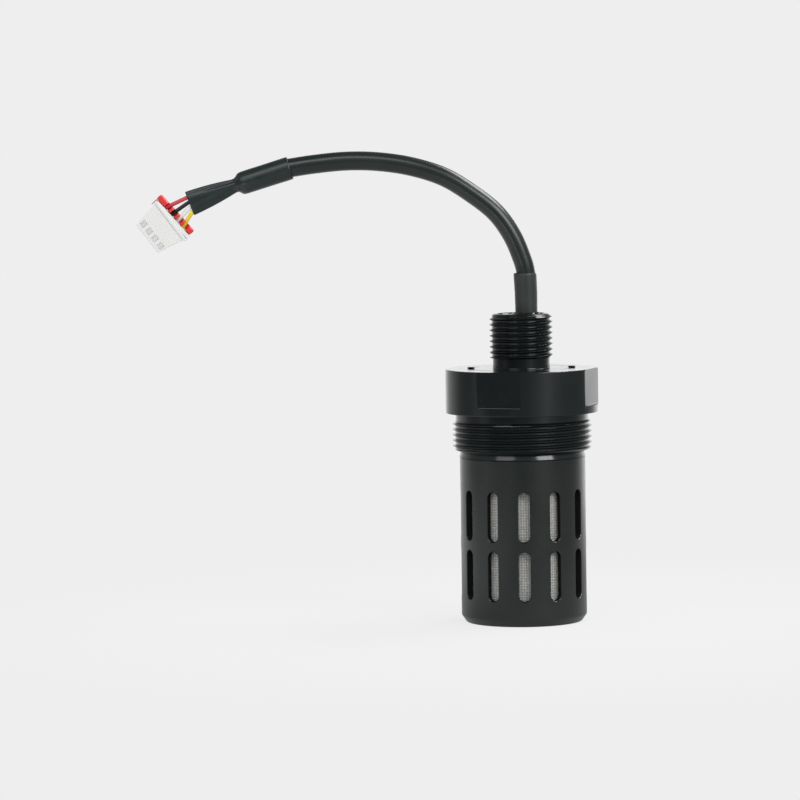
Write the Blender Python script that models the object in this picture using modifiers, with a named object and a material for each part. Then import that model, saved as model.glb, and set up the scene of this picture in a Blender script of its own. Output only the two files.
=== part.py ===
"""Laser methane sensor: a slotted guard sleeve screwed to a threaded body, with a short pigtail and plug.

Frame: metres, +Z up along the turned axis, origin in the middle of the guard sleeve's flat base.
The front is -Y, and the pigtail arches over towards -X in the plane Y = 0.
Pieces that touch keep SEAT_GAP between them.
"""
import math

import bmesh
import bpy
from mathutils import Matrix, Vector

MM = 0.001
SEAT_GAP = 0.3 * MM
OVERSHOOT = 1.0 * MM

# Guard sleeve: a cup with two rows of milled slots
SLEEVE_OUTER_R = 17.15 * MM
SLEEVE_WALL = 1.7 * MM
SLEEVE_FLOOR = 2.0 * MM
SLEEVE_HEIGHT = 45.15 * MM
BASE_CHAMFER_R = 1.4 * MM
BASE_CHAMFER_Z = 1.9 * MM
SLOT_COUNT = 12
SLOT_WIDTH = 3.4 * MM
SLOT_LENGTH = 13.3 * MM
SLOT_ROW_START = 7.15 * MM
SLOT_ROW_PITCH = 16.15 * MM
SLOT_TURN = math.radians(-1.0)

# Filter: a rolled tube of woven wire cloth behind the slots
FILTER_WALL = 0.5 * MM

# Body: spigot, land, main thread, relief and flange in one turned piece
SPIGOT_LENGTH = 6.5 * MM
LAND_STEP = 0.15 * MM
LAND_TAPER = 0.35 * MM
LAND_HEIGHT = 1.05 * MM
LAND_CHAMFER = 0.8 * MM
MAIN_THREAD_R = 19.0 * MM
MAIN_THREAD_LENGTH = 7.8 * MM
MAIN_THREAD_CHAMFER = 0.6 * MM
THREAD_PITCH = 1.5 * MM
THREAD_DEPTH = 0.75 * MM
THREAD_MOUTH = 1.26 * MM
THREAD_GROOVES = 4
RELIEF_R = 18.2 * MM
RELIEF_HEIGHT = 2.2 * MM
FLANGE_R = 21.0 * MM
FLANGE_THICKNESS = 12.0 * MM
FLANGE_EDGE = 0.4 * MM
FLAT_COUNT = 4
FLATS_ACROSS = 40.0 * MM
FLAT_DEPTH = 9.95 * MM
FLAT_TURN = math.radians(-19.5)
SPIGOT_WALL = 1.55 * MM
SEAT_STEP = 1.0 * MM
SEAT_BORE_DEPTH = 9.5 * MM
THROAT_R = 9.0 * MM
THROAT_HEIGHT = 2.5 * MM

# Neck fitting: disc let into the flange, with the conduit thread above it
DISC_R = 13.85 * MM
DISC_THICKNESS = 3.0 * MM
NECK_BORE_R = 6.0 * MM
NECK_RELIEF_R = 7.825 * MM
NECK_RELIEF_HEIGHT = 2.9 * MM
NECK_THREAD_R = 8.5 * MM
NECK_THREAD_LENGTH = 11.8 * MM
NECK_THREAD_CHAMFER = 0.8 * MM
NECK_GROOVE_FLOOR_R = 7.2 * MM
NECK_GROOVE_WIDTH = 1.8 * MM
LOCK_SCREW_R = 0.9 * MM
LOCK_SCREW_LENGTH = 1.8 * MM

# Optical holder, window and the two cans
HOLDER_THICKNESS = 7.0 * MM
RETAINER_HEIGHT = 1.65 * MM
WINDOW_EDGE = 0.7 * MM
WINDOW_THICKNESS = 1.5 * MM
WINDOW_RING_INSET = 0.9 * MM
WINDOW_RING_CORD_R = 0.45 * MM
CAN_OFFSET = 3.4 * MM
CAN_FLANGE_R = 2.7 * MM
CAN_FLANGE_THICKNESS = 1.2 * MM
CAN_CAP_R = 2.1 * MM
LASER_CAP_LENGTH = 1.75 * MM
DETECTOR_CAP_LENGTH = 1.3 * MM
CAN_SEAT_DEPTH = 1.95 * MM
PIN_R = 0.22 * MM
PIN_CIRCLE_R = 1.27 * MM
PROBE_R = 1.0 * MM
PROBE_LENGTH = 3.65 * MM

# Gas cell below the window
POST_COUNT = 3
POST_R = 1.1 * MM
POST_EDGE = 2.9 * MM
POST_HOLE_DEPTH = 2.0 * MM
MIRROR_STEP = 0.5 * MM
MIRROR_THICKNESS = 2.5 * MM
MIRROR_HOLDER_HEIGHT = 4.0 * MM

# Electronics above the holder
BOARD_EDGE = 0.6 * MM
BOARD_THICKNESS = 1.2 * MM
BOARD_POST_R = 1.5 * MM
BOARD_POST_EDGE = 2.4 * MM
BOARD_POST_HEIGHT = 2.75 * MM
HEADER_SIZE = (10.0 * MM, 2.5 * MM)
HEADER_HEIGHT = 5.7 * MM
HEADER_EDGE = 5.5 * MM
CHIP_SIZE = (5.0 * MM, 5.0 * MM)
CHIP_HEIGHT = 0.9 * MM
CHIP_EDGE = 5.0 * MM

# Pigtail: the cable leaves the neck beside its middle
CABLE_R = 2.6 * MM
CABLE_OFFSET = 1.55 * MM
RELIEF_TUBE_WALL = 0.3 * MM
RELIEF_TUBE_RISE = 11.2 * MM
RELIEF_TUBE_DEPTH = 12.0 * MM
POTTING_HEIGHT = 10.0 * MM
POTTING_RECESS = 0.5 * MM
POTTING_DISH = 0.5 * MM
CABLE_POINTS = 10

# Route of the cable's middle line from the mouth of the strain relief, as (x, z)
CABLE_ROUTE = (
    (-0.75 * MM, 3.2 * MM),
    (-3.55 * MM, 10.1 * MM),
    (-7.9 * MM, 16.4 * MM),
    (-13.9 * MM, 21.4 * MM),
    (-21.9 * MM, 26.45 * MM),
    (-31.1 * MM, 29.5 * MM),
    (-40.5 * MM, 30.95 * MM),
    (-49.1 * MM, 31.15 * MM),
    (-57.7 * MM, 30.4 * MM),
)
SLEEVE_MOUTH = (-64.15 * MM, 29.2 * MM)
SLEEVE_WAIST = (-78.74 * MM, 24.55 * MM)
SLEEVE_FLARE = (-91.15 * MM, 20.17 * MM)

# End sleeve: heat-shrink over the cable's end, pinched and pressed flat over its cores
END_SLEEVE_WALL = 0.3 * MM
END_SLEEVE_LAP = 11.5 * MM
WAIST_HALF = (1.75 * MM, 1.7 * MM)
FLARE_HALF = (3.25 * MM, 1.0 * MM)
SHOULDER_LENGTH = 1.4 * MM

# Plug: housing with four ways, comb retainer behind it, wires and contacts
PLUG_AT = (-96.16 * MM, 15.95 * MM)
PLUG_DROP = math.radians(35.6)
WAY_COUNT = 4
WAY_PITCH = 2.5 * MM
HOUSING_LENGTH = 8.65 * MM
HOUSING_REAR_HALF = 6.2 * MM
HOUSING_FRONT_HALF = 4.9 * MM
HOUSING_THICKNESS = 5.4 * MM
LIP_HALF = 6.7 * MM
LIP_LENGTH = 0.9 * MM
CAVITY_SIZE = 1.7 * MM
PORT_SIZE = (1.5 * MM, 1.6 * MM)
PORT_FROM_FRONT = 1.65 * MM
COMB_LENGTH = 1.7 * MM
COMB_HALF = 6.7 * MM
COMB_THICKNESS = 4.4 * MM
COMB_NOTCH_DEPTH = 3.1 * MM
COMB_ARM_LENGTH = 1.2 * MM
COMB_ARM_THICKNESS = 0.5 * MM
WIRE_R = 0.55 * MM
WIRE_ENTRY = 2.0 * MM
WIRE_SPREAD = 1.55 * MM
WIRE_LEAD = 1.6 * MM
CONTACT_END = 0.7 * MM

# Levels worked out from the sizes above, from the base upwards
SLEEVE_INNER_R = SLEEVE_OUTER_R - SLEEVE_WALL
LAND_R = SLEEVE_OUTER_R + LAND_STEP
SPIGOT_R = SLEEVE_INNER_R - SEAT_GAP
SEAT_BORE_R = SPIGOT_R - SPIGOT_WALL
BORE_R = SEAT_BORE_R - SEAT_STEP
LAND_Z = SLEEVE_HEIGHT + SEAT_GAP
SPIGOT_Z = LAND_Z - SPIGOT_LENGTH
THREAD_Z = LAND_Z + LAND_HEIGHT + LAND_CHAMFER
RELIEF_Z = THREAD_Z + MAIN_THREAD_LENGTH
FLANGE_Z = RELIEF_Z + RELIEF_HEIGHT
FLANGE_TOP = FLANGE_Z + FLANGE_THICKNESS
DISC_Z = FLANGE_TOP - DISC_THICKNESS
LEDGE_Z = DISC_Z - SEAT_GAP
THROAT_Z = LEDGE_Z - THROAT_HEIGHT
NECK_TOP = FLANGE_TOP + NECK_RELIEF_HEIGHT + NECK_THREAD_LENGTH
SEAT_STEP_Z = SPIGOT_Z + SEAT_BORE_DEPTH
HOLDER_TOP = SEAT_STEP_Z - SEAT_GAP
HOLDER_Z = HOLDER_TOP - HOLDER_THICKNESS
HOLDER_R = SEAT_BORE_R - SEAT_GAP
POST_CIRCLE_R = HOLDER_R - POST_EDGE
WINDOW_R = POST_CIRCLE_R - POST_R - 2 * SEAT_GAP - WINDOW_EDGE
WINDOW_RING_R = WINDOW_R - WINDOW_RING_INSET
MIRROR_R = WINDOW_R - MIRROR_STEP
WINDOW_SEAT_Z = HOLDER_Z + WINDOW_THICKNESS + SEAT_GAP
CAN_STEP_Z = HOLDER_TOP - CAN_SEAT_DEPTH
CAN_Z = CAN_STEP_Z + SEAT_GAP
FILTER_R = SLEEVE_INNER_R - SEAT_GAP
CELL_Z = SLEEVE_FLOOR + SEAT_GAP
MIRROR_HOLDER_TOP = CELL_Z + MIRROR_HOLDER_HEIGHT
BOARD_R = BORE_R - BOARD_EDGE
BOARD_POST_CIRCLE_R = BOARD_R - BOARD_POST_EDGE
DRIVER_BOARD_Z = HOLDER_TOP + BOARD_POST_HEIGHT + 2 * SEAT_GAP
HEADER_Z = DRIVER_BOARD_Z + BOARD_THICKNESS + SEAT_GAP
MAIN_BOARD_Z = HEADER_Z + HEADER_HEIGHT + SEAT_GAP
MAIN_BOARD_TOP = MAIN_BOARD_Z + BOARD_THICKNESS
RELIEF_TUBE_R = CABLE_R + SEAT_GAP + RELIEF_TUBE_WALL
RELIEF_TUBE_TOP = NECK_TOP + RELIEF_TUBE_RISE
CABLE_MOUTH = Vector((CABLE_OFFSET, 0.0, RELIEF_TUBE_TOP))

SENSOR = None
CUTTERS = None


def clear_scene():
    """Take every object out of the open scene."""
    for old in list(bpy.data.objects):
        bpy.data.objects.remove(old, do_unlink=True)


def new_collection(name):
    """Collection linked to the scene."""
    made = bpy.data.collections.new(name)
    bpy.context.scene.collection.children.link(made)
    return made


def material(name, colour, roughness, metallic=0.0):
    """Plain surface of one colour, made once for each name."""
    if name in bpy.data.materials:
        return bpy.data.materials[name]
    made = bpy.data.materials.new(name)
    made.use_nodes = True
    shader = made.node_tree.nodes["Principled BSDF"]
    shader.inputs["Base Color"].default_value = (*colour, 1.0)
    shader.inputs["Roughness"].default_value = roughness
    shader.inputs["Metallic"].default_value = metallic
    return made


def black_anodised():
    return material("black_anodised", (0.012, 0.013, 0.013), 0.3, 0.4)


def steel():
    return material("steel", (0.55, 0.55, 0.53), 0.35, 1.0)


def black_rubber():
    return material("black_rubber", (0.015, 0.015, 0.016), 0.6)


def board_green():
    return material("board_green", (0.02, 0.12, 0.05), 0.5)


def white_nylon():
    return material("white_nylon", (0.78, 0.79, 0.77), 0.45)


def place(made, look):
    """Give a finished piece its surface and put it in the sensor's collection."""
    made.data.materials.append(look)
    SENSOR.objects.link(made)
    return made


def as_cutter(made):
    """Put a shape that only cuts in the cutters' collection."""
    made.hide_render = True
    made.display_type = "WIRE"
    CUTTERS.objects.link(made)
    return made


def cut(target, cutter):
    """Take the cutter's shape out of the target."""
    boolean = target.modifiers.new(cutter.name, "BOOLEAN")
    boolean.operation = "DIFFERENCE"
    boolean.solver = "EXACT"
    boolean.object = cutter
    return target


def turned(name, profile, steps):
    """Object swept once round Z from (radius, height) points that run down the outer side."""
    points = [(radius, 0.0, height) for radius, height in profile]
    edges = [(i, i + 1) for i in range(len(points) - 1)]
    if profile[0][0] > 0.0:
        edges.append((len(points) - 1, 0))
    mesh = bpy.data.meshes.new(name)
    mesh.from_pydata(points, edges, [])
    made = bpy.data.objects.new(name, mesh)
    screw = made.modifiers.new("turn", "SCREW")
    screw.steps = steps
    screw.render_steps = steps
    screw.use_merge_vertices = True
    screw.merge_threshold = 0.00001
    screw.use_smooth_shade = False
    return made


def rod(radius, low, high):
    """Profile of a plain rod."""
    return ((0.0, high), (radius, high), (radius, low), (0.0, low))


def ring(outer, inner, low, high):
    """Profile of a plain ring or tube."""
    return ((outer, high), (outer, low), (inner, low), (inner, high))


def ring_cord(radius, cord_r, height, sides=12):
    """Profile of a ring of round cord."""
    turns = [-math.tau * i / sides for i in range(sides)]
    return tuple((radius + cord_r * math.cos(a), height + cord_r * math.sin(a)) for a in turns)


def box_mesh(name, size, middle):
    """Mesh of a box."""
    mesh = bpy.data.meshes.new(name)
    grid = bmesh.new()
    bmesh.ops.create_cube(grid, size=1.0)
    bmesh.ops.scale(grid, vec=size, verts=grid.verts)
    bmesh.ops.translate(grid, vec=middle, verts=grid.verts)
    grid.to_mesh(mesh)
    grid.free()
    return mesh


def solid_mesh(source):
    """Welded mesh of an object as it stands with its modifiers, which then removes the object."""
    CUTTERS.objects.link(source)
    graph = bpy.context.evaluated_depsgraph_get()
    mesh = bpy.data.meshes.new_from_object(source.evaluated_get(graph))
    grid = bmesh.new()
    grid.from_mesh(mesh)
    bmesh.ops.remove_doubles(grid, verts=grid.verts, dist=0.000001)
    bmesh.ops.recalc_face_normals(grid, faces=grid.faces)
    grid.transform(source.matrix_world)
    grid.to_mesh(mesh)
    grid.free()
    bpy.data.objects.remove(source, do_unlink=True)
    return mesh


def outline_mesh(name, points, thickness):
    """Welded mesh of a flat outline in XY with its thickness along Z, half on each side."""
    curve = bpy.data.curves.new(name, "CURVE")
    curve.dimensions = "2D"
    curve.fill_mode = "BOTH"
    curve.extrude = thickness / 2
    spline = curve.splines.new("POLY")
    spline.points.add(len(points) - 1)
    for point, (x, y) in zip(spline.points, points):
        point.co = (x, y, 0.0, 1.0)
    spline.use_cyclic_u = True
    return solid_mesh(bpy.data.objects.new(name, curve))


def copies(name, mesh, matrices):
    """One mesh object holding the mesh once for each matrix."""
    grid = bmesh.new()
    for matrix in matrices:
        before = len(grid.verts)
        grid.from_mesh(mesh)
        grid.verts.ensure_lookup_table()
        bmesh.ops.transform(grid, matrix=matrix, verts=grid.verts[before:])
    result = bpy.data.meshes.new(name)
    grid.to_mesh(result)
    grid.free()
    return bpy.data.objects.new(name, result)


def around(count, radius=0.0, start=0.0, height=0.0):
    """Matrices evenly round Z, counted from the front (-Y)."""
    turns = [start + math.tau * i / count for i in range(count)]
    return [
        Matrix.Translation((0.0, 0.0, height)) @ Matrix.Rotation(turn, 4, "Z") @ Matrix.Translation((0.0, -radius, 0.0))
        for turn in turns
    ]


def stadium(width, length, arc_steps=6):
    """Outline of a slot with round ends, its long side along Y and its middle at the origin."""
    radius = width / 2
    reach = length / 2 - radius
    top = [(radius * math.cos(a), reach + radius * math.sin(a)) for a in half_turn(0.0, arc_steps)]
    bottom = [(radius * math.cos(a), -reach + radius * math.sin(a)) for a in half_turn(math.pi, arc_steps)]
    return top + bottom


def half_turn(start, steps):
    """Angles of half a circle, both ends included."""
    return [start + math.pi * i / steps for i in range(steps + 1)]


def tube(name, points, radius, resolution=2):
    """Round bar along the points, with closed ends."""
    curve = bpy.data.curves.new(name, "CURVE")
    curve.dimensions = "3D"
    curve.bevel_depth = radius
    curve.bevel_resolution = resolution
    curve.use_fill_caps = True
    spline = curve.splines.new("POLY")
    spline.points.add(len(points) - 1)
    for point, place_at in zip(spline.points, points):
        point.co = (*place_at, 1.0)
    return bpy.data.objects.new(name, curve)


def smooth_line(points, count):
    """Evenly spaced points on a smooth curve through the given points."""
    dense = []
    padded = [2 * points[0] - points[1], *points, 2 * points[-1] - points[-2]]
    for before, start, end, after in zip(padded, padded[1:], padded[2:], padded[3:]):
        for i in range(20):
            t = i / 20
            across = (end - before) * t + (2 * before - 5 * start + 4 * end - after) * t * t
            dense.append(start + (across + (3 * start - before - 3 * end + after) * t**3) / 2)
    dense.append(points[-1])
    reach = [0.0]
    for start, end in zip(dense, dense[1:]):
        reach.append(reach[-1] + (end - start).length)
    line = []
    nearest = 0
    for i in range(count):
        target = reach[-1] * i / (count - 1)
        while nearest < len(reach) - 2 and reach[nearest + 1] < target:
            nearest += 1
        share = (target - reach[nearest]) / (reach[nearest + 1] - reach[nearest])
        line.append(dense[nearest].lerp(dense[nearest + 1], share))
    return line


def from_mouth(point):
    """World point of an (x, z) offset from the strain relief's mouth."""
    return CABLE_MOUTH + Vector((point[0], 0.0, point[1]))


def guard_sleeve():
    """Cup of the guard: chamfered base, floor and a wall with two rows of slots."""
    profile = (
        (SLEEVE_OUTER_R, SLEEVE_HEIGHT),
        (SLEEVE_OUTER_R, BASE_CHAMFER_Z),
        (SLEEVE_OUTER_R - BASE_CHAMFER_R, 0.0),
        (0.0, 0.0),
        (0.0, SLEEVE_FLOOR),
        (SLEEVE_INNER_R, SLEEVE_FLOOR),
        (SLEEVE_INNER_R, SLEEVE_HEIGHT),
    )
    sleeve = place(turned("guard_sleeve", profile, 64), black_anodised())
    slot = outline_mesh("slot", stadium(SLOT_WIDTH, SLOT_LENGTH), 2 * OVERSHOOT + SLEEVE_WALL)
    upright = Matrix.Rotation(math.pi / 2, 4, "X")
    slots = []
    for row in range(2):
        middle = SLOT_ROW_START + SLOT_LENGTH / 2 + row * SLOT_ROW_PITCH
        slots += around(SLOT_COUNT, SLEEVE_OUTER_R - SLEEVE_WALL / 2, SLOT_TURN, middle)
    return cut(sleeve, as_cutter(copies("slots", slot, [matrix @ upright for matrix in slots])))


def filter_mesh():
    """Rolled wire-cloth tube held between the sleeve's floor and the body's spigot."""
    profile = ring(FILTER_R, FILTER_R - FILTER_WALL, CELL_Z, SPIGOT_Z - SEAT_GAP)
    return place(turned("filter_mesh", profile, 40), steel())


def thread_grooves(radius, middle, count):
    """Profile of a thread's turns, from the top down, each drawn as a plain ring groove."""
    points = []
    for i in range(count):
        floor_z = middle + ((count - 1) / 2 - i) * THREAD_PITCH
        points.append((radius, floor_z + THREAD_MOUTH / 2))
        points.append((radius - THREAD_DEPTH, floor_z))
        points.append((radius, floor_z - THREAD_MOUTH / 2))
    return points


def sensor_body():
    """Body from the spigot inside the sleeve up to the flange, bored through."""
    profile = (
        (FLANGE_R - FLANGE_EDGE, FLANGE_TOP),
        (FLANGE_R, FLANGE_TOP - FLANGE_EDGE),
        (FLANGE_R, FLANGE_Z + FLANGE_EDGE),
        (FLANGE_R - FLANGE_EDGE, FLANGE_Z),
        (RELIEF_R, FLANGE_Z),
        (RELIEF_R, RELIEF_Z),
        (MAIN_THREAD_R - MAIN_THREAD_CHAMFER, RELIEF_Z),
        (MAIN_THREAD_R, RELIEF_Z - MAIN_THREAD_CHAMFER),
        *thread_grooves(MAIN_THREAD_R, (THREAD_Z + RELIEF_Z) / 2, THREAD_GROOVES),
        (MAIN_THREAD_R, THREAD_Z + MAIN_THREAD_CHAMFER),
        (MAIN_THREAD_R - MAIN_THREAD_CHAMFER, THREAD_Z),
        (LAND_R - LAND_TAPER, LAND_Z + LAND_HEIGHT),
        (LAND_R, LAND_Z),
        (SPIGOT_R, LAND_Z),
        (SPIGOT_R, SPIGOT_Z),
        (SEAT_BORE_R, SPIGOT_Z),
        (SEAT_BORE_R, SEAT_STEP_Z),
        (BORE_R, SEAT_STEP_Z),
        (BORE_R, THROAT_Z),
        (THROAT_R, THROAT_Z),
        (THROAT_R, LEDGE_Z),
        (DISC_R + SEAT_GAP, LEDGE_Z),
        (DISC_R + SEAT_GAP, FLANGE_TOP),
    )
    body = place(turned("sensor_body", profile, 64), black_anodised())
    depth = FLANGE_R - FLATS_ACROSS / 2 + OVERSHOOT
    size = (FLANGE_R, depth, FLAT_DEPTH + OVERSHOOT)
    middle = (0.0, -depth / 2, (OVERSHOOT - FLAT_DEPTH) / 2)
    flats = around(FLAT_COUNT, FLATS_ACROSS / 2, FLAT_TURN, FLANGE_TOP)
    return cut(body, as_cutter(copies("flats", box_mesh("flat", size, middle), flats)))


def neck_fitting():
    """Disc in the flange's recess with the grooved boss below and the threaded neck above."""
    boss_r = THROAT_R - SEAT_GAP
    groove_top = DISC_Z - (THROAT_HEIGHT - NECK_GROOVE_WIDTH) / 2
    groove_low = groove_top - NECK_GROOVE_WIDTH
    neck_z = FLANGE_TOP + NECK_RELIEF_HEIGHT
    profile = (
        (NECK_THREAD_R - NECK_THREAD_CHAMFER, NECK_TOP),
        (NECK_THREAD_R, NECK_TOP - NECK_THREAD_CHAMFER),
        (NECK_THREAD_R, neck_z),
        (NECK_RELIEF_R, neck_z),
        (NECK_RELIEF_R, FLANGE_TOP),
        (DISC_R, FLANGE_TOP),
        (DISC_R, DISC_Z),
        (boss_r, DISC_Z),
        (boss_r, groove_top),
        (NECK_GROOVE_FLOOR_R, groove_top),
        (NECK_GROOVE_FLOOR_R, groove_low),
        (boss_r, groove_low),
        (boss_r, THROAT_Z),
        (NECK_BORE_R, THROAT_Z),
        (NECK_BORE_R, NECK_TOP),
    )
    cord_r = (THROAT_R - NECK_GROOVE_FLOOR_R) / 2 - SEAT_GAP
    middle_r = (THROAT_R + NECK_GROOVE_FLOOR_R) / 2
    seal = ring_cord(middle_r, cord_r, (groove_top + groove_low) / 2, 8)
    place(turned("neck_o_ring", seal, 24), black_rubber())
    return place(turned("neck_fitting", profile, 40), black_anodised())


def lock_screws(body, fitting):
    """Two grub screws sunk in holes drilled half in the flange and half in the disc."""
    seam_r = DISC_R + SEAT_GAP / 2
    sides = around(2, seam_r, math.pi / 2)
    hole = solid_mesh(turned("hole", rod(LOCK_SCREW_R + SEAT_GAP, LEDGE_Z, FLANGE_TOP + OVERSHOOT), 16))
    holes = as_cutter(copies("lock_holes", hole, sides))
    cut(body, holes)
    cut(fitting, holes)
    screw_z = LEDGE_Z + SEAT_GAP
    screw = solid_mesh(turned("screw", rod(LOCK_SCREW_R, screw_z, screw_z + LOCK_SCREW_LENGTH), 12))
    for number, matrix in enumerate(sides, 1):
        place(copies(f"lock_screw_{number}", screw, [matrix]), steel())


def optics_holder():
    """Disc that closes the body's bore and carries the window, the cans and the cell's posts."""
    recess_r = WINDOW_R + SEAT_GAP
    groove_half = WINDOW_RING_CORD_R + SEAT_GAP
    groove_top = WINDOW_SEAT_Z + 2 * WINDOW_RING_CORD_R + SEAT_GAP
    profile = (
        (0.0, HOLDER_TOP),
        (HOLDER_R, HOLDER_TOP),
        (HOLDER_R, HOLDER_Z),
        (recess_r, HOLDER_Z),
        (recess_r, WINDOW_SEAT_Z),
        (WINDOW_RING_R + groove_half, WINDOW_SEAT_Z),
        (WINDOW_RING_R + groove_half, groove_top),
        (WINDOW_RING_R - groove_half, groove_top),
        (WINDOW_RING_R - groove_half, WINDOW_SEAT_Z),
        (0.0, WINDOW_SEAT_Z),
    )
    holder = place(turned("optics_holder", profile, 40), steel())
    bore = (
        (0.0, HOLDER_TOP + OVERSHOOT),
        (CAN_FLANGE_R + SEAT_GAP, HOLDER_TOP + OVERSHOOT),
        (CAN_FLANGE_R + SEAT_GAP, CAN_STEP_Z),
        (CAN_CAP_R + SEAT_GAP, CAN_STEP_Z),
        (CAN_CAP_R + SEAT_GAP, WINDOW_SEAT_Z - SEAT_GAP),
        (0.0, WINDOW_SEAT_Z - SEAT_GAP),
    )
    can_bore = solid_mesh(turned("can_bore", bore, 16))
    cut(holder, as_cutter(copies("can_bores", can_bore, around(2, CAN_OFFSET, math.pi / 2))))
    cut(holder, post_holes("upper_post_holes", HOLDER_Z - OVERSHOOT, HOLDER_Z + POST_HOLE_DEPTH))
    pocket = rod(PROBE_R + SEAT_GAP, HOLDER_Z - OVERSHOOT, HOLDER_Z + POST_HOLE_DEPTH)
    pocket_mesh = solid_mesh(turned("pocket", pocket, 12))
    return cut(holder, as_cutter(copies("probe_pocket", pocket_mesh, around(1, POST_CIRCLE_R))))


def post_holes(name, low, high):
    """Cutter for the blind holes of the cell's posts."""
    hole = solid_mesh(turned("hole", rod(POST_R + SEAT_GAP, low, high), 12))
    return as_cutter(copies(name, hole, around(POST_COUNT, POST_CIRCLE_R, math.pi / POST_COUNT)))


def retaining_ring():
    """Screwed ring that holds the optical holder up against its step."""
    inner_r = POST_CIRCLE_R + POST_R + SEAT_GAP
    top = HOLDER_Z - SEAT_GAP
    return place(turned("retaining_ring", ring(HOLDER_R, inner_r, top - RETAINER_HEIGHT, top), 40), steel())


def window_and_seal():
    """Sapphire disc flush with the holder, and the ring of cord behind it."""
    sapphire = material("sapphire", (0.75, 0.8, 0.85), 0.05)
    window = rod(WINDOW_R, HOLDER_Z, HOLDER_Z + WINDOW_THICKNESS)
    place(turned("window", window, 32), sapphire)
    height = WINDOW_SEAT_Z + WINDOW_RING_CORD_R
    place(turned("window_o_ring", ring_cord(WINDOW_RING_R, WINDOW_RING_CORD_R, height, 8), 24), black_rubber())


def can(name, side, cap_length):
    """Metal can on its flange, cap down and three pins up to the board."""
    profile = (
        (0.0, CAN_Z + CAN_FLANGE_THICKNESS),
        (CAN_FLANGE_R, CAN_Z + CAN_FLANGE_THICKNESS),
        (CAN_FLANGE_R, CAN_Z),
        (CAN_CAP_R, CAN_Z),
        (CAN_CAP_R, CAN_Z - cap_length),
        (0.0, CAN_Z - cap_length),
    )
    matrix = around(1, CAN_OFFSET, side * math.pi / 2)[0]
    made = place(copies(name, solid_mesh(turned("can", profile, 16)), [matrix]), steel())
    low = CAN_Z + CAN_FLANGE_THICKNESS / 2
    pin = solid_mesh(turned("pin", rod(PIN_R, low, DRIVER_BOARD_Z - SEAT_GAP), 8))
    pins = as_cutter(copies(f"{name}_pins", pin, [matrix @ turn for turn in around(3, PIN_CIRCLE_R)]))
    union = made.modifiers.new("pins", "BOOLEAN")
    union.operation = "UNION"
    union.solver = "EXACT"
    union.object = pins
    return made


def temperature_probe():
    """Small probe in the holder's pocket, reaching down into the gas."""
    top = HOLDER_Z + POST_HOLE_DEPTH - SEAT_GAP
    probe = solid_mesh(turned("probe", rod(PROBE_R, top - PROBE_LENGTH, top), 12))
    return place(copies("temperature_probe", probe, around(1, POST_CIRCLE_R)), steel())


def gas_cell():
    """Mirror in its holder on the sleeve's floor, and three posts up to the optical holder."""
    mirror_z = MIRROR_HOLDER_TOP - MIRROR_THICKNESS
    profile = (
        (FILTER_R - FILTER_WALL - SEAT_GAP, MIRROR_HOLDER_TOP),
        (FILTER_R - FILTER_WALL - SEAT_GAP, CELL_Z),
        (0.0, CELL_Z),
        (0.0, mirror_z - SEAT_GAP),
        (MIRROR_R + SEAT_GAP, mirror_z - SEAT_GAP),
        (MIRROR_R + SEAT_GAP, MIRROR_HOLDER_TOP),
    )
    holder = place(turned("mirror_holder", profile, 40), steel())
    hole_floor = MIRROR_HOLDER_TOP - POST_HOLE_DEPTH
    cut(holder, post_holes("lower_post_holes", hole_floor, MIRROR_HOLDER_TOP + OVERSHOOT))
    mirror_look = material("mirror_gold", (0.9, 0.7, 0.3), 0.05, 1.0)
    place(turned("cell_mirror", rod(MIRROR_R, mirror_z, MIRROR_HOLDER_TOP), 32), mirror_look)
    top = HOLDER_Z + POST_HOLE_DEPTH - SEAT_GAP
    post = solid_mesh(turned("post", rod(POST_R, hole_floor + SEAT_GAP, top), 12))
    for number, matrix in enumerate(around(POST_COUNT, POST_CIRCLE_R, math.pi / POST_COUNT), 1):
        place(copies(f"cell_post_{number}", post, [matrix]), steel())


def electronics():
    """Driver board on three posts, a header between the boards and the main board with its chip."""
    low = HOLDER_TOP + SEAT_GAP
    post = solid_mesh(turned("post", rod(BOARD_POST_R, low, low + BOARD_POST_HEIGHT), 12))
    for number, matrix in enumerate(around(3, BOARD_POST_CIRCLE_R), 1):
        place(copies(f"board_post_{number}", post, [matrix]), steel())
    driver = rod(BOARD_R, DRIVER_BOARD_Z, DRIVER_BOARD_Z + BOARD_THICKNESS)
    place(turned("driver_board", driver, 32), board_green())
    place(turned("main_board", rod(BOARD_R, MAIN_BOARD_Z, MAIN_BOARD_TOP), 32), board_green())
    header = box_mesh("header", (*HEADER_SIZE, HEADER_HEIGHT), (0.0, BOARD_R - HEADER_EDGE, HEADER_Z + HEADER_HEIGHT / 2))
    place(bpy.data.objects.new("board_header", header), black_rubber())
    chip_z = MAIN_BOARD_TOP + SEAT_GAP + CHIP_HEIGHT / 2
    chip = box_mesh("chip", (*CHIP_SIZE, CHIP_HEIGHT), (0.0, CHIP_EDGE - BOARD_R, chip_z))
    place(bpy.data.objects.new("processor_chip", chip), black_rubber())


def strain_relief():
    """Heat-shrink tube that stiffens the cable where it leaves the neck."""
    low = NECK_TOP - RELIEF_TUBE_DEPTH
    profile = ring(RELIEF_TUBE_R, RELIEF_TUBE_R - RELIEF_TUBE_WALL, low, RELIEF_TUBE_TOP)
    tube_mesh = solid_mesh(turned("relief", profile, 24))
    return place(copies("strain_relief", tube_mesh, [Matrix.Translation((CABLE_OFFSET, 0.0, 0.0))]), black_rubber())


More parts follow.
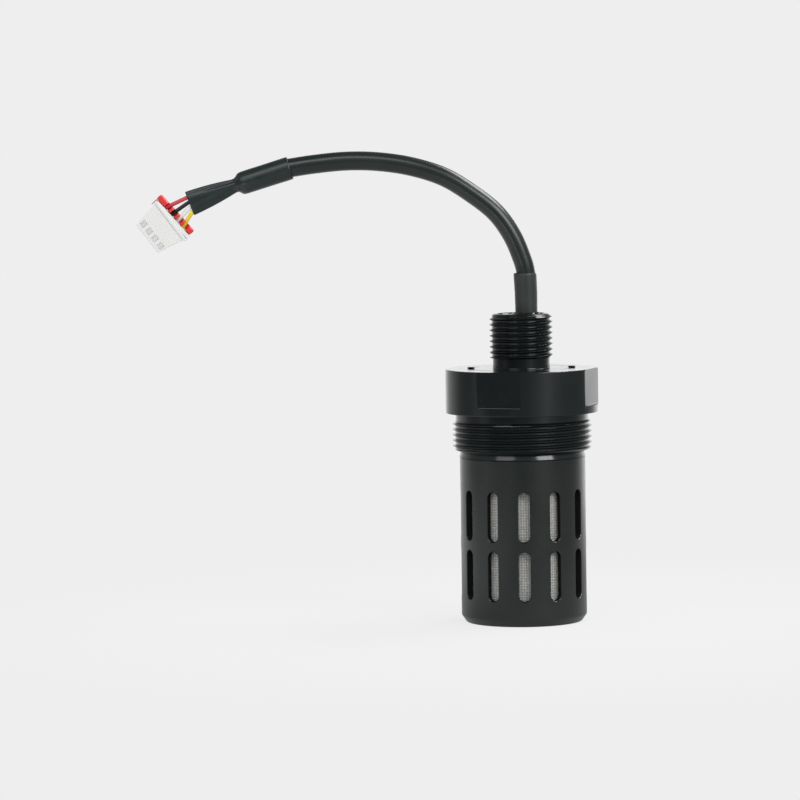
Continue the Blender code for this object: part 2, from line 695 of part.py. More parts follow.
def potting():
    """Cast resin that fills the neck round the strain relief, with a dished top."""
    edge = NECK_TOP - POTTING_RECESS
    outer_r = NECK_BORE_R - SEAT_GAP
    dish = [(outer_r * (3 - i) / 3, edge - POTTING_DISH * (1 - ((3 - i) / 3) ** 2)) for i in range(4)]
    profile = (*reversed(dish), (outer_r, edge - POTTING_HEIGHT), (0.0, edge - POTTING_HEIGHT))
    resin = material("black_resin", (0.01, 0.01, 0.011), 0.12)
    made = place(turned("potting", profile, 32), resin)
    hole = rod(RELIEF_TUBE_R + SEAT_GAP, edge - POTTING_HEIGHT - OVERSHOOT, edge + OVERSHOOT)
    hole_mesh = solid_mesh(turned("hole", hole, 24))
    return cut(made, as_cutter(copies("potting_hole", hole_mesh, [Matrix.Translation((CABLE_OFFSET, 0.0, 0.0))])))


def cable():
    """Jacketed cable from the main board through the neck and along the arch into the end sleeve."""
    mouth = from_mouth(SLEEVE_MOUTH)
    along = (from_mouth(SLEEVE_WAIST) - mouth).normalized()
    route = [CABLE_MOUTH, *(from_mouth(point) for point in CABLE_ROUTE), mouth]
    arch = smooth_line(route, CABLE_POINTS)
    inner_end = Vector((CABLE_OFFSET, 0.0, MAIN_BOARD_TOP + CHIP_HEIGHT + 2 * SEAT_GAP))
    points = [inner_end, *arch, mouth + along * (END_SLEEVE_LAP - SEAT_GAP)]
    jacket = material("cable_jacket", (0.02, 0.022, 0.022), 0.35)
    return place(tube("cable", points, CABLE_R, 3), jacket)


def oval_loft(name, stations, sides=20):
    """Solid through oval rings: each station has its middle, its way along and its two half widths."""
    grid = bmesh.new()
    rings = []
    for middle, along, half_up, half_front in stations:
        across = along.cross(Vector((0.0, 1.0, 0.0))).normalized()
        turns = [math.tau * i / sides for i in range(sides)]
        front = Vector((0.0, 1.0, 0.0))
        spots = [middle + across * half_up * math.cos(a) + front * half_front * math.sin(a) for a in turns]
        rings.append([grid.verts.new(spot) for spot in spots])
    for near, far in zip(rings, rings[1:]):
        for i in range(sides):
            grid.faces.new((near[i], near[(i + 1) % sides], far[(i + 1) % sides], far[i]))
    grid.faces.new(rings[0])
    grid.faces.new(rings[-1])
    bmesh.ops.recalc_face_normals(grid, faces=grid.faces)
    mesh = bpy.data.meshes.new(name)
    grid.to_mesh(mesh)
    grid.free()
    return bpy.data.objects.new(name, mesh)


def end_sleeve():
    """Shrunk sleeve: round over the cable's end, pinched past it and pressed flat over the wires."""
    mouth = from_mouth(SLEEVE_MOUTH)
    waist = from_mouth(SLEEVE_WAIST)
    flare = from_mouth(SLEEVE_FLARE)
    along = (waist - mouth).normalized()
    onward = (flare - waist).normalized()
    round_r = CABLE_R + SEAT_GAP + END_SLEEVE_WALL
    full_end = waist - along * SHOULDER_LENGTH
    stations = [
        (mouth, along, round_r, round_r),
        (full_end, along, round_r, round_r),
        ((full_end + waist) / 2, along, (round_r + WAIST_HALF[0]) / 2, (round_r + WAIST_HALF[1]) / 2),
        (waist, (along + onward).normalized(), *WAIST_HALF),
    ]
    for share in (0.3, 0.65, 1.0):
        half_up = WAIST_HALF[0] + (FLARE_HALF[0] - WAIST_HALF[0]) * share
        half_front = WAIST_HALF[1] + (FLARE_HALF[1] - WAIST_HALF[1]) * share
        stations.append((waist.lerp(flare, share), onward, half_up, half_front))
    shrink = material("heat_shrink", (0.02, 0.022, 0.022), 0.5)
    sleeve = place(oval_loft("end_sleeve", stations), shrink)
    bore = solid_mesh(turned("bore", rod(CABLE_R + SEAT_GAP, -END_SLEEVE_LAP, OVERSHOOT), 20))
    turn = Vector((0.0, 0.0, -1.0)).rotation_difference(along).to_matrix().to_4x4()
    return cut(sleeve, as_cutter(copies("end_sleeve_bore", bore, [Matrix.Translation(mouth) @ turn])))


def plug_frame():
    """Matrix of the plug: X along its row of ways, Y towards its front, Z towards the object's back."""
    along = Vector((-math.cos(PLUG_DROP), 0.0, -math.sin(PLUG_DROP)))
    row = Vector((math.sin(PLUG_DROP), 0.0, -math.cos(PLUG_DROP)))
    back = row.cross(along)
    turn = Matrix((row, along, back)).transposed().to_4x4()
    return Matrix.Translation(from_mouth(PLUG_AT)) @ turn


def way_offsets():
    """Places of the ways along the plug's row."""
    return [(i - (WAY_COUNT - 1) / 2) * WAY_PITCH for i in range(WAY_COUNT)]


def plug_housing():
    """Tapered four-way housing with a lip at the rear, cavities right through and ports in front."""
    outline = (
        (-LIP_HALF, 0.0),
        (LIP_HALF, 0.0),
        (LIP_HALF, LIP_LENGTH),
        (HOUSING_REAR_HALF, LIP_LENGTH),
        (HOUSING_FRONT_HALF, HOUSING_LENGTH),
        (-HOUSING_FRONT_HALF, HOUSING_LENGTH),
        (-HOUSING_REAR_HALF, LIP_LENGTH),
        (-LIP_HALF, LIP_LENGTH),
    )
    block = outline_mesh("block", outline, HOUSING_THICKNESS)
    housing = place(copies("plug_housing", block, [plug_frame()]), white_nylon())
    through = (CAVITY_SIZE, HOUSING_LENGTH + 2 * OVERSHOOT, CAVITY_SIZE)
    cavity = box_mesh("cavity", through, (0.0, HOUSING_LENGTH / 2, 0.0))
    depth = HOUSING_THICKNESS / 2 + OVERSHOOT
    port_y = HOUSING_LENGTH - PORT_FROM_FRONT
    port = box_mesh("port", (*PORT_SIZE, depth), (0.0, port_y, -depth / 2))
    ways = [plug_frame() @ Matrix.Translation((offset, 0.0, 0.0)) for offset in way_offsets()]
    cut(housing, as_cutter(copies("cavities", cavity, ways)))
    return cut(housing, as_cutter(copies("ports", port, ways)))


def plug_retainer():
    """Comb behind the housing, its notches round the wires and its arms along the housing's ends."""
    notch = WIRE_R + SEAT_GAP
    front = COMB_THICKNESS / 2
    floor = front - COMB_NOTCH_DEPTH
    points = [(-COMB_HALF, -front), (COMB_HALF, -front), (COMB_HALF, front)]
    for offset in reversed(way_offsets()):
        points += [(offset + notch, front), (offset + notch, floor), (offset - notch, floor), (offset - notch, front)]
    points.append((-COMB_HALF, front))
    comb = outline_mesh("comb", points, COMB_LENGTH)
    upright = Matrix.Rotation(-math.pi / 2, 4, "X")
    behind = Matrix.Translation((0.0, -SEAT_GAP - COMB_LENGTH / 2, 0.0))
    retainer_look = material("retainer_red", (0.72, 0.035, 0.025), 0.4)
    retainer = place(copies("plug_retainer", comb, [plug_frame() @ behind @ upright]), retainer_look)
    reach = COMB_LENGTH + COMB_ARM_LENGTH + SEAT_GAP
    size = (COMB_ARM_THICKNESS, reach, COMB_THICKNESS / 2)
    arm_x = LIP_HALF + SEAT_GAP + COMB_ARM_THICKNESS / 2
    arm_y = COMB_ARM_LENGTH - reach / 2
    arm = box_mesh("arm", size, (0.0, arm_y, 0.0))
    web_size = (2 * SEAT_GAP + COMB_ARM_THICKNESS / 2, COMB_LENGTH / 2, COMB_THICKNESS / 2)
    for name, side in (("upper", -1), ("lower", 1)):
        arm_place = plug_frame() @ Matrix.Translation((side * arm_x, 0.0, 0.0))
        web_place = plug_frame() @ Matrix.Translation((side * COMB_HALF, -SEAT_GAP - COMB_LENGTH / 2, 0.0))
        web = box_mesh("web", web_size, (0.0, 0.0, 0.0))
        join(retainer, as_cutter(copies(f"{name}_arm", arm, [arm_place])))
        join(retainer, as_cutter(copies(f"{name}_web", web, [web_place])))
    return retainer


def join(target, addition):
    """Fuse the addition's shape with the target."""
    boolean = target.modifiers.new(addition.name, "BOOLEAN")
    boolean.operation = "UNION"
    boolean.solver = "EXACT"
    boolean.object = addition
    return target


def wires():
    """Four cores from the flattened sleeve, each bending into its own way of the plug."""
    looks = (
        ("wire_red", (0.6, 0.05, 0.08)),
        ("wire_black", (0.015, 0.015, 0.015)),
        ("wire_white", (0.8, 0.8, 0.78)),
        ("wire_yellow", (0.8, 0.65, 0.04)),
    )
    flare = from_mouth(SLEEVE_FLARE)
    onward = (flare - from_mouth(SLEEVE_WAIST)).normalized()
    across = onward.cross(Vector((0.0, 1.0, 0.0))).normalized()
    frame = plug_frame()
    for (name, colour), offset in zip(looks, way_offsets()):
        start = flare + onward * SEAT_GAP + across * (offset / WAY_PITCH * WIRE_SPREAD)
        entry = frame @ Vector((offset, WIRE_ENTRY, 0.0))
        mouth = frame @ Vector((offset, 0.0, 0.0))
        lead = frame @ Vector((offset, -SEAT_GAP - COMB_LENGTH, 0.0))
        line = smooth_line([start, start + onward * WIRE_LEAD, lead, mouth], 7)
        place(tube(name, [*line, entry], WIRE_R, 2), material(name, colour, 0.4))


def contacts():
    """Crimp contact in each way, between the wire's end and the plug's front."""
    side = CAVITY_SIZE - 2 * SEAT_GAP
    start = WIRE_ENTRY + SEAT_GAP
    length = HOUSING_LENGTH - CONTACT_END - start
    block = box_mesh("contact", (side, length, side), (0.0, start + length / 2, 0.0))
    for number, offset in enumerate(way_offsets(), 1):
        matrix = plug_frame() @ Matrix.Translation((offset, 0.0, 0.0))
        place(copies(f"contact_{number}", block, [matrix]), steel())


def build():
    """Make the whole sensor."""
    guard_sleeve()
    filter_mesh()
    lock_screws(sensor_body(), neck_fitting())
    optics_holder()
    retaining_ring()
    window_and_seal()
    can("laser_diode", -1, LASER_CAP_LENGTH)
    can("photodiode", 1, DETECTOR_CAP_LENGTH)
    temperature_probe()
    gas_cell()
    electronics()
    strain_relief()
    potting()
    cable()
    end_sleeve()
    plug_housing()
    plug_retainer()
    wires()
    contacts()


clear_scene()
SENSOR = new_collection("laser_methane_sensor")
CUTTERS = new_collection("cutters")
build()
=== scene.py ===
import math

import bpy
from mathutils import Matrix, Vector


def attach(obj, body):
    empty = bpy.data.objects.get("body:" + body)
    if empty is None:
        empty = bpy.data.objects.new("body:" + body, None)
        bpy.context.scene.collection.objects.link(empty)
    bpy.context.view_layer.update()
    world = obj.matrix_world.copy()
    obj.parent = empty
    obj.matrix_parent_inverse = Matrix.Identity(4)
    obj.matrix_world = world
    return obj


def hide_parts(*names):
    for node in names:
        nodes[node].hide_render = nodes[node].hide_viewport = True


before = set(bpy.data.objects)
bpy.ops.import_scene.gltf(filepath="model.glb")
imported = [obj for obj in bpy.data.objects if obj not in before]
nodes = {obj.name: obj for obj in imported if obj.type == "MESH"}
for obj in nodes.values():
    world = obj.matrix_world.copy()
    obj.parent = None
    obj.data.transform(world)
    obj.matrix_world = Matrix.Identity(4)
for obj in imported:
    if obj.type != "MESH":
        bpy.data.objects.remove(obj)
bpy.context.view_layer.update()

MM = 0.001


# Camera: a long lens that looks down by four degrees. It leans by less than a degree,
# so that the sensor stands tilted to the left as it does in the photograph.
FRAME_WIDTH = 218.6 * MM
CAMERA_DISTANCE = 1120.0 * MM
CAMERA_RISE = math.radians(4.0)
CAMERA_LEAN = math.radians(0.83)
aim = Vector((-33.28, 0.0, 61.0)) * MM
away = Vector((0.0, -math.cos(CAMERA_RISE), math.sin(CAMERA_RISE)))
level = Vector((1.0, 0.0, 0.0))
upright = away.cross(level)
sideways = level * math.cos(CAMERA_LEAN) - upright * math.sin(CAMERA_LEAN)
upwards = upright * math.cos(CAMERA_LEAN) + level * math.sin(CAMERA_LEAN)
bpy.ops.object.camera_add()
camera = bpy.context.object
camera.matrix_world = Matrix.Translation(aim + away * CAMERA_DISTANCE) @ Matrix(
    (sideways, upwards, away)
).transposed().to_4x4()
camera.data.lens = camera.data.sensor_width * CAMERA_DISTANCE / FRAME_WIDTH
camera.data.clip_start = 0.1
camera.data.clip_end = 20.0
bpy.context.scene.camera = camera
bpy.context.scene.view_settings.view_transform = "Standard"


# Studio: a pale table that fades into a pale backdrop, in a room that is dark above and in front and
# bright behind. A softbox stands in front at each side, one high in the middle and one behind on the
# right, and a small card lights the sensor from low on the left.
class Wire:
    """A socket in a node tree; sums on it add Math nodes."""

    def __init__(self, tree, socket=None):
        self.tree = tree
        self.socket = socket

    def node(self, kind, settings=(), sockets=(), output=0):
        """Add a node: its settings first, then the values or wires of its sockets."""
        made = self.tree.nodes.new(kind)
        for name, value in dict(settings).items():
            if name == "stops":
                made.color_ramp.elements[0].color = (*value[0][1], 1.0)
                made.color_ramp.elements[1].color = (*value[-1][1], 1.0)
                for position, colour in value[1:-1]:
                    made.color_ramp.elements.new(position).color = (*colour, 1.0)
            else:
                setattr(made, name, value)
        for name, value in dict(sockets).items():
            if isinstance(value, Wire):
                self.tree.links.new(value.socket, made.inputs[name])
            else:
                made.inputs[name].default_value = value
        return Wire(self.tree, made.outputs[output])

    def output(self, name):
        """Another output of the same node."""
        return Wire(self.tree, self.socket.node.outputs[name])

    def maths(self, operation, *values):
        return self.node("ShaderNodeMath", {"operation": operation}, enumerate(values))

    def mix(self, factor, first, second):
        """Blend of two colours."""
        colours = {0: factor, 6: (*first, 1.0) if isinstance(first, tuple) else first}
        colours[7] = (*second, 1.0) if isinstance(second, tuple) else second
        return self.node("ShaderNodeMix", {"data_type": "RGBA"}, colours, 2)

    def smooth(self, start, end, top=1.0):
        """Smooth step from 0 where the wire is at start to top where it is at end."""
        sockets = {"Value": self, "From Min": start, "From Max": end, "To Max": top}
        return self.node("ShaderNodeMapRange", {"interpolation_type": "SMOOTHSTEP"}, sockets)

    def __add__(self, other):
        return self.maths("ADD", self, other)

    def __sub__(self, other):
        return self.maths("SUBTRACT", self, other)

    def __rsub__(self, other):
        return self.maths("SUBTRACT", other, self)

    def __mul__(self, other):
        return self.maths("MULTIPLY", self, other)

    def __truediv__(self, other):
        return self.maths("DIVIDE", self, other)

    def __pow__(self, other):
        return self.maths("POWER", self, other)

    __radd__ = __add__
    __rmul__ = __mul__


def grey(value):
    """Colour of a neutral grey."""
    return (value, value, value)


PALE = 0.855
UPPER_LIGHT = 0.3
ZENITH_LIGHT = 0.06
LOWER_LIGHT = 0.85
EVEN_LIGHT = 0.52
surroundings = bpy.data.worlds.new("studio")
surroundings.use_nodes = True
bpy.context.scene.world = surroundings
wire = Wire(surroundings.node_tree)
heading = wire.node("ShaderNodeTexCoord", output="Generated")
part = wire.node("ShaderNodeSeparateXYZ", sockets={0: heading})
east, north, height = part.output("X"), part.output("Y"), part.output("Z")
bearing = wire.maths("ARCTAN2", east, 0.0 - north) / math.tau + 0.5
# Light round the horizon by its angle from the front in degrees, positive to the right.
ROUND_LIGHT = (
    (-180, 1.3), (-160, 1.2), (-149, 0.9), (-141, 0.72), (-131, 0.62), (-118, 0.43), (-108, 0.25),
    (-98, 0.2), (-84, 0.22), (-75, 0.34), (-67, 0.32), (-59, 0.18), (-46, 0.11), (-30, 0.11),
    (-10, 0.17), (8, 0.2), (22, 0.36), (37, 0.6), (50, 0.4), (66, 0.26), (100, 0.22), (109, 0.27),
    (120, 0.45), (133, 0.8), (145, 1.6), (160, 1.5), (180, 1.3),
)
round_stops = [(angle / 360 + 0.5, grey(light)) for angle, light in ROUND_LIGHT]
band = wire.node("ShaderNodeValToRGB", {"stops": round_stops}, {0: bearing})
overhead = wire.mix(height.smooth(0.7, 0.86), grey(UPPER_LIGHT), grey(ZENITH_LIGHT))
above = wire.mix(height.smooth(0.15, 0.4), band, overhead)
mirrored = wire.mix(height.smooth(-0.15, -0.6), above, grey(LOWER_LIGHT))
paths = wire.node("ShaderNodeLightPath")
lit = wire.mix(paths.output("Is Glossy Ray"), grey(EVEN_LIGHT), mirrored)
shown = wire.mix(paths.output("Is Camera Ray"), lit, grey(PALE))
backing = surroundings.node_tree.nodes["Background"]
surroundings.node_tree.links.new(shown.socket, backing.inputs["Color"])

TABLE_R = 0.35
TABLE_RIM = 0.2
TABLE_DROP = 0.02
FRONT_GLOW = 0.34
BACK_GLOW = 1.0
NEAR_GLOW = 0.44
LEFT_GLOW = 0.82
table_spot = (0.0, 0.0, -TABLE_DROP * MM)
bpy.ops.mesh.primitive_circle_add(vertices=96, radius=TABLE_R, fill_type="NGON", location=table_spot)
table = bpy.context.object
table.name = "table"
bpy.ops.object.mode_set(mode="EDIT")
bpy.ops.mesh.inset(thickness=TABLE_RIM)
bpy.ops.object.mode_set(mode="OBJECT")
table_look = bpy.data.materials.new("table_look")
table_look.use_nodes = True
wire = Wire(table_look.node_tree)
spot = wire.node("ShaderNodeTexCoord", output="Object")
apart = wire.node("ShaderNodeVectorMath", {"operation": "LENGTH"}, {0: spot}, "Value")
near = apart.smooth(0.2, 0.03, 0.1)
fade = apart.smooth(0.2, 0.08)
sides = wire.node("ShaderNodeSeparateXYZ", sockets={0: spot})
behind = sides.output("Y").smooth(0.0, 0.3)
to_left = sides.output("X").smooth(-0.04, -0.1)
far_glow = wire.mix(behind, grey(FRONT_GLOW), grey(BACK_GLOW))
table_glow = wire.mix(to_left, wire.mix(fade, far_glow, grey(NEAR_GLOW)), grey(LEFT_GLOW))
seen = wire.node("ShaderNodeLightPath").output("Is Camera Ray")
glow_shade = wire.mix(seen, table_glow, grey(PALE))
glow = wire.node("ShaderNodeEmission", sockets={"Color": glow_shade})
paint = wire.node("ShaderNodeBsdfDiffuse", sockets={"Color": (*grey(0.86), 1.0)})
both = wire.node("ShaderNodeMixShader", sockets={0: near, 1: glow, 2: paint})
table_output = table_look.node_tree.nodes["Material Output"]
table_look.node_tree.links.new(both.socket, table_output.inputs["Surface"])
table.data.materials.append(table_look)

LIGHT_AIM = Vector((0.0, 0.0, 0.06))
LIGHT_DISTANCE = 1.2


def softbox(name, azimuth, rise, size, strength):
    """Rectangular light aimed at the sensor; azimuth 0 is in front of it."""
    turn = math.radians(azimuth)
    tilt = math.radians(rise)
    ahead = Vector((math.sin(turn) * math.cos(tilt), -math.cos(turn) * math.cos(tilt), math.sin(tilt)))
    bpy.ops.object.light_add(type="AREA", location=LIGHT_AIM + ahead * LIGHT_DISTANCE)
    lamp = bpy.context.object
    lamp.name = name
    lamp.rotation_euler = ahead.to_track_quat("Z", "Y").to_euler()
    lamp.data.shape = "RECTANGLE"
    lamp.data.size, lamp.data.size_y = size
    lamp.data.energy = math.pi * size[0] * size[1] * strength
    lamp.visible_camera = False


softbox("softbox_right", azimuth=43.0, rise=29.5, size=(0.6, 0.56), strength=6.0)
softbox("softbox_left", azimuth=-35.5, rise=35.0, size=(0.68, 0.85), strength=1.55)
softbox("softbox_side", azimuth=118.0, rise=50.0, size=(0.9, 0.42), strength=8.0)
softbox("softbox_top", azimuth=-6.0, rise=51.0, size=(0.6, 0.46), strength=2.4)
softbox("low_card", azimuth=-24.0, rise=-15.7, size=(0.3, 0.24), strength=4.5)


# Guard sleeve: deep cup of aluminium, turned from bar, with two rows of twelve slots milled
# through its wall and their edges broken, then anodised black. It screws on to the body.
SLEEVE_SLOTS = 12
SLOT_WIDTH = 3.2
SLOT_LENGTH = 13.5
SLOT_MIDDLES = (13.65, 29.8)
SLOT_TURN = math.radians(-1.0)
SLOT_FROM = 14.6
SLOT_DEPTH = 2.33
SLOT_BREAK = 1.2
# Deeper in than this radius and above this height, the slot walls and the sleeve's inside are painted
# dark as shade.
SLOT_SHADE_R = 16.97
SLOT_SHADE_LOW = 3.0
SLEEVE_PROFILE = (
    (0.0, 2.0), (15.45, 2.0), (15.45, 45.15), (17.05, 45.15), (17.15, 45.05), (17.15, 2.15),
    (17.07, 1.8), (15.92, 0.14), (15.7, 0.0), (0.0, 0.0),
)


def open_alone(piece, mode="EDIT"):
    """Make a piece the only selected one and open it with nothing selected in it."""
    if bpy.context.object and bpy.context.object.mode != "OBJECT":
        bpy.ops.object.mode_set(mode="OBJECT")
    bpy.ops.object.select_all(action="DESELECT")
    piece.select_set(True)
    bpy.context.view_layer.objects.active = piece
    bpy.ops.object.mode_set(mode=mode)
    if mode == "EDIT":
        bpy.ops.mesh.select_all(action="DESELECT")


def apply_all(piece):
    """Apply a piece's modifiers in their order."""
    open_alone(piece, "OBJECT")
    for modifier in list(piece.modifiers):
        bpy.ops.object.modifier_apply(modifier=modifier.name)


def extrude(move):
    """Extrude what is selected by a move in metres."""
    bpy.ops.mesh.extrude_region_move(TRANSFORM_OT_translate={"value": move})


def turned(name, profile, steps, rise=0.0, turns=1):
    """Turned piece: its half section, in mm, is drawn point by point and spun round the axis."""
    ring = profile[0][0] > 0.0
    line = (*profile, profile[0]) if ring else profile
    spots = [Vector((radius, 0.0, z)) * MM for radius, z in line]
    bpy.ops.mesh.primitive_plane_add(size=MM)
    piece = bpy.context.object
    piece.name = name
    bpy.ops.object.mode_set(mode="EDIT")
    bpy.ops.mesh.merge(type="CENTER")
    bpy.ops.transform.translate(value=spots[0])
    for before, after in zip(spots, spots[1:]):
        extrude(after - before)
    bpy.ops.mesh.select_all(action="SELECT")
    bpy.ops.mesh.remove_doubles(threshold=0.00001)
    bpy.ops.object.mode_set(mode="OBJECT")
    spin = piece.modifiers.new("spin", "SCREW")
    spin.steps = steps
    spin.render_steps = steps
    spin.screw_offset = rise * MM
    spin.iterations = turns
    spin.use_merge_vertices = True
    spin.merge_threshold = 0.000002
    apply_all(piece)
    weld(piece)
    return piece


def face_outwards(piece):
    """Turn all faces of a piece outwards."""
    open_alone(piece)
    bpy.ops.mesh.select_all(action="SELECT")
    bpy.ops.mesh.normals_make_consistent(inside=False)
    bpy.ops.object.mode_set(mode="OBJECT")


def weld(piece):
    """Merge doubles, close any open end and turn the faces outwards."""
    open_alone(piece)
    bpy.ops.mesh.select_all(action="SELECT")
    bpy.ops.mesh.remove_doubles(threshold=0.000002)
    bpy.ops.mesh.select_all(action="SELECT")
    bpy.ops.mesh.fill_holes(sides=12)
    face_outwards(piece)


def copies(piece, places):
    """Put a copy of a piece at each place and join them in one object; the first model goes."""
    made = []
    for place in places:
        copy = piece.copy()
        copy.data = piece.data.copy()
        copy.data.transform(place)
        bpy.context.scene.collection.objects.link(copy)
        made.append(copy)
    bpy.data.objects.remove(piece)
    open_alone(made[0], "OBJECT")
    for copy in made:
        copy.select_set(True)
    bpy.ops.object.join()
    return made[0]


def around(count, start=0.0, lift=0.0):
    """Places evenly round the axis, counted from the front, lifted by mm."""
    turns = [start + math.tau * i / count for i in range(count)]
    return [Matrix.Translation((0.0, 0.0, lift * MM)) @ Matrix.Rotation(turn, 4, "Z") for turn in turns]


def carve(piece, tool, operation="DIFFERENCE"):
    """Cut a piece with a tool, or fuse the two; the tool then goes."""
    step = piece.modifiers.new("carve", "BOOLEAN")
    step.operation = operation
    step.solver = "EXACT"
    step.object = tool
    apply_all(piece)
    bpy.data.objects.remove(tool)


def finish(piece, look, slot, *replaced, angle=32.0):
    """Smooth a finished piece, give it its look and let it stand for its plain solids."""
    open_alone(piece, "OBJECT")
    if piece.type == "MESH":
        bpy.ops.object.shade_smooth_by_angle(angle=math.radians(angle))
        even = piece.modifiers.new("even", "WEIGHTED_NORMAL")
        even.keep_sharp = True
        apply_all(piece)
    piece.data.materials.clear()
    piece.data.materials.append(look)
    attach(piece, "root")
    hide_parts(*replaced)
    return piece


def new_look(name):
    """Start of a material: the material itself, its wires and the place on the piece."""
    look = bpy.data.materials.new(name)
    look.use_nodes = True
    wire = Wire(look.node_tree)
    place = wire.node("ShaderNodeTexCoord", output="Object")
    return look, wire, place


def surface(look, **sockets):
    """Set the shader's sockets; underscores in the names stand for spaces."""
    shader = look.node_tree.nodes["Principled BSDF"]
    for name, value in sockets.items():
        socket = shader.inputs[name.replace("_", " ")]
        if isinstance(value, Wire):
            look.node_tree.links.new(value.socket, socket)
        else:
            socket.default_value = value
    return look


def noise(wire, place, scale, detail=3.0):
    """Soft random variation about one half; scale is in waves per metre."""
    sockets = {"Vector": place, "Scale": scale, "Detail": detail}
    return wire.node("ShaderNodeTexNoise", sockets=sockets)


def bump(wire, height, depth):
    """Relief from a height of 0 to 1, its full depth in mm."""
    return wire.node("ShaderNodeBump", sockets={"Height": height, "Distance": depth * MM})


def radius_and_height(wire, place):
    """Distance from the axis and height above the base, as two wires."""
    spot = wire.node("ShaderNodeSeparateXYZ", sockets={0: place})
    x, y = spot.output("X"), spot.output("Y")
    return (x * x + y * y) ** 0.5, spot.output("Z")


def black_anodised(name, shade, roughness, grain, bend=1.6):
    """Black anodised aluminium: fine tool rings, faint clouds and dull specks; bend is its IOR."""
    look, wire, place = new_look(name)
    radius, height = radius_and_height(wire, place)
    section = wire.node("ShaderNodeCombineXYZ", sockets={"X": radius, "Z": height})
    rings = noise(wire, section, scale=2600.0, detail=2.0)
    cloud = noise(wire, place, scale=160.0, detail=4.0)
    specks = noise(wire, place, scale=4200.0, detail=1.0)
    dull = wire.node("ShaderNodeMapRange", sockets={"Value": specks, "From Min": 0.66, "From Max": 0.78})
    tone = wire.mix(cloud, tuple(0.8 * c for c in shade), tuple(1.25 * c for c in shade))
    relief = rings * (1.0 - grain) + specks * grain
    return surface(
        look,
        Base_Color=wire.mix(dull * 0.35, tone, (0.05, 0.052, 0.052)),
        Roughness=(cloud - 0.5) * 0.12 + (rings - 0.5) * 0.06 + dull * 0.1 + roughness,
        IOR=bend,
        Normal=bump(wire, relief, depth=0.004),
    )


sleeve = turned("sleeve", SLEEVE_PROFILE, 192)
slot_spot = (0.0, -SLOT_FROM * MM, 0.0)
bpy.ops.mesh.primitive_plane_add(size=MM, location=slot_spot, rotation=(math.pi / 2, 0.0, 0.0))
slot = bpy.context.object
bpy.ops.object.mode_set(mode="EDIT")
bpy.ops.transform.resize(value=(SLOT_WIDTH, 1.0, SLOT_LENGTH))
# Just under half the width, so that the two arcs of a round end meet in no doubled point.
bpy.ops.mesh.bevel(offset=SLOT_WIDTH / 2 * MM * 0.9995, segments=8, affect="VERTICES")
bpy.ops.mesh.select_all(action="SELECT")
extrude((0.0, -SLOT_DEPTH * MM, 0.0))
extrude((0.0, -SLOT_BREAK * MM, 0.0))
spread = 2 * SLOT_BREAK
bpy.ops.transform.resize(value=(1.0 + spread / SLOT_WIDTH, 1.0, 1.0 + spread / SLOT_LENGTH))
bpy.ops.object.mode_set(mode="OBJECT")
bpy.ops.object.transform_apply()
weld(slot)
slot_places = [place for middle in SLOT_MIDDLES for place in around(SLEEVE_SLOTS, SLOT_TURN, middle)]
carve(sleeve, copies(slot, slot_places))


def paint_recess_shade(look, radius, low):
    """Within a radius and above a height, in mm, the surface is a flat dark matte without gloss: painted
    shade in the recesses there.
    """
    wire = Wire(look.node_tree)
    apart, height = radius_and_height(wire, wire.node("ShaderNodeTexCoord", output="Object"))
    within = wire.maths("LESS_THAN", apart, radius * MM)
    inside = within * wire.maths("GREATER_THAN", height, low * MM)
    painted_shade = wire.node("ShaderNodeBsdfDiffuse", sockets={"Color": (*grey(0.013), 1.0)})
    result = look.node_tree.nodes["Material Output"].inputs["Surface"]
    finished = Wire(look.node_tree, look.node_tree.nodes["Principled BSDF"].outputs[0])
    both = wire.node("ShaderNodeMixShader", sockets={0: inside, 1: finished, 2: painted_shade})
    look.node_tree.links.new(both.socket, result)


sleeve_look = black_anodised("sleeve_anodised", (0.0058, 0.0092, 0.0085), roughness=0.27, grain=0.5)
# Painted shade: the slot walls below their broken edges and the sleeve's inside are a flat dark matte.
paint_recess_shade(sleeve_look, SLOT_SHADE_R, SLOT_SHADE_LOW)
finish(sleeve, sleeve_look, "black_anodised", "guard_sleeve")


# Filter: stainless wire cloth rolled into a tube and held behind the slots, about 34 wires to
# the inch. Each wire passes over and under its neighbours, so the cloth shows rows of small humps.
CLOTH_R = 15.05
CLOTH_WALL = 0.4
CLOTH_LOW = 2.3
CLOTH_HIGH = 38.65
CLOTH_AROUND = 128
CLOTH_UP = 49
CLOTH_DEPTH = 0.1
cloth_step = (CLOTH_HIGH - CLOTH_LOW) / (2 * CLOTH_UP)
cloth_spot = (0.0, 0.0, CLOTH_LOW * MM)
bpy.ops.mesh.primitive_circle_add(vertices=2 * CLOTH_AROUND, radius=CLOTH_R * MM, location=cloth_spot)
cloth = bpy.context.object
cloth.name = "filter_cloth"
bpy.ops.object.mode_set(mode="EDIT")
for row in range(2 * CLOTH_UP):
    extrude((0.0, 0.0, cloth_step * MM))
bpy.ops.object.mode_set(mode="OBJECT")
bpy.ops.object.transform_apply()
for point in cloth.data.vertices:
    along = round(math.atan2(point.co.y, point.co.x) / math.pi * CLOTH_AROUND)
    row = round((point.co.z / MM - CLOTH_LOW) / cloth_step)
    sunk = (along % 2 + row % 2) / 2
    share = 1.0 - sunk * CLOTH_DEPTH / CLOTH_R
    point.co.x *= share
    point.co.y *= share
face_outwards(cloth)
wall = cloth.modifiers.new("wall", "SOLIDIFY")
wall.thickness = CLOTH_WALL * MM
wall.offset = -1.0
apply_all(cloth)

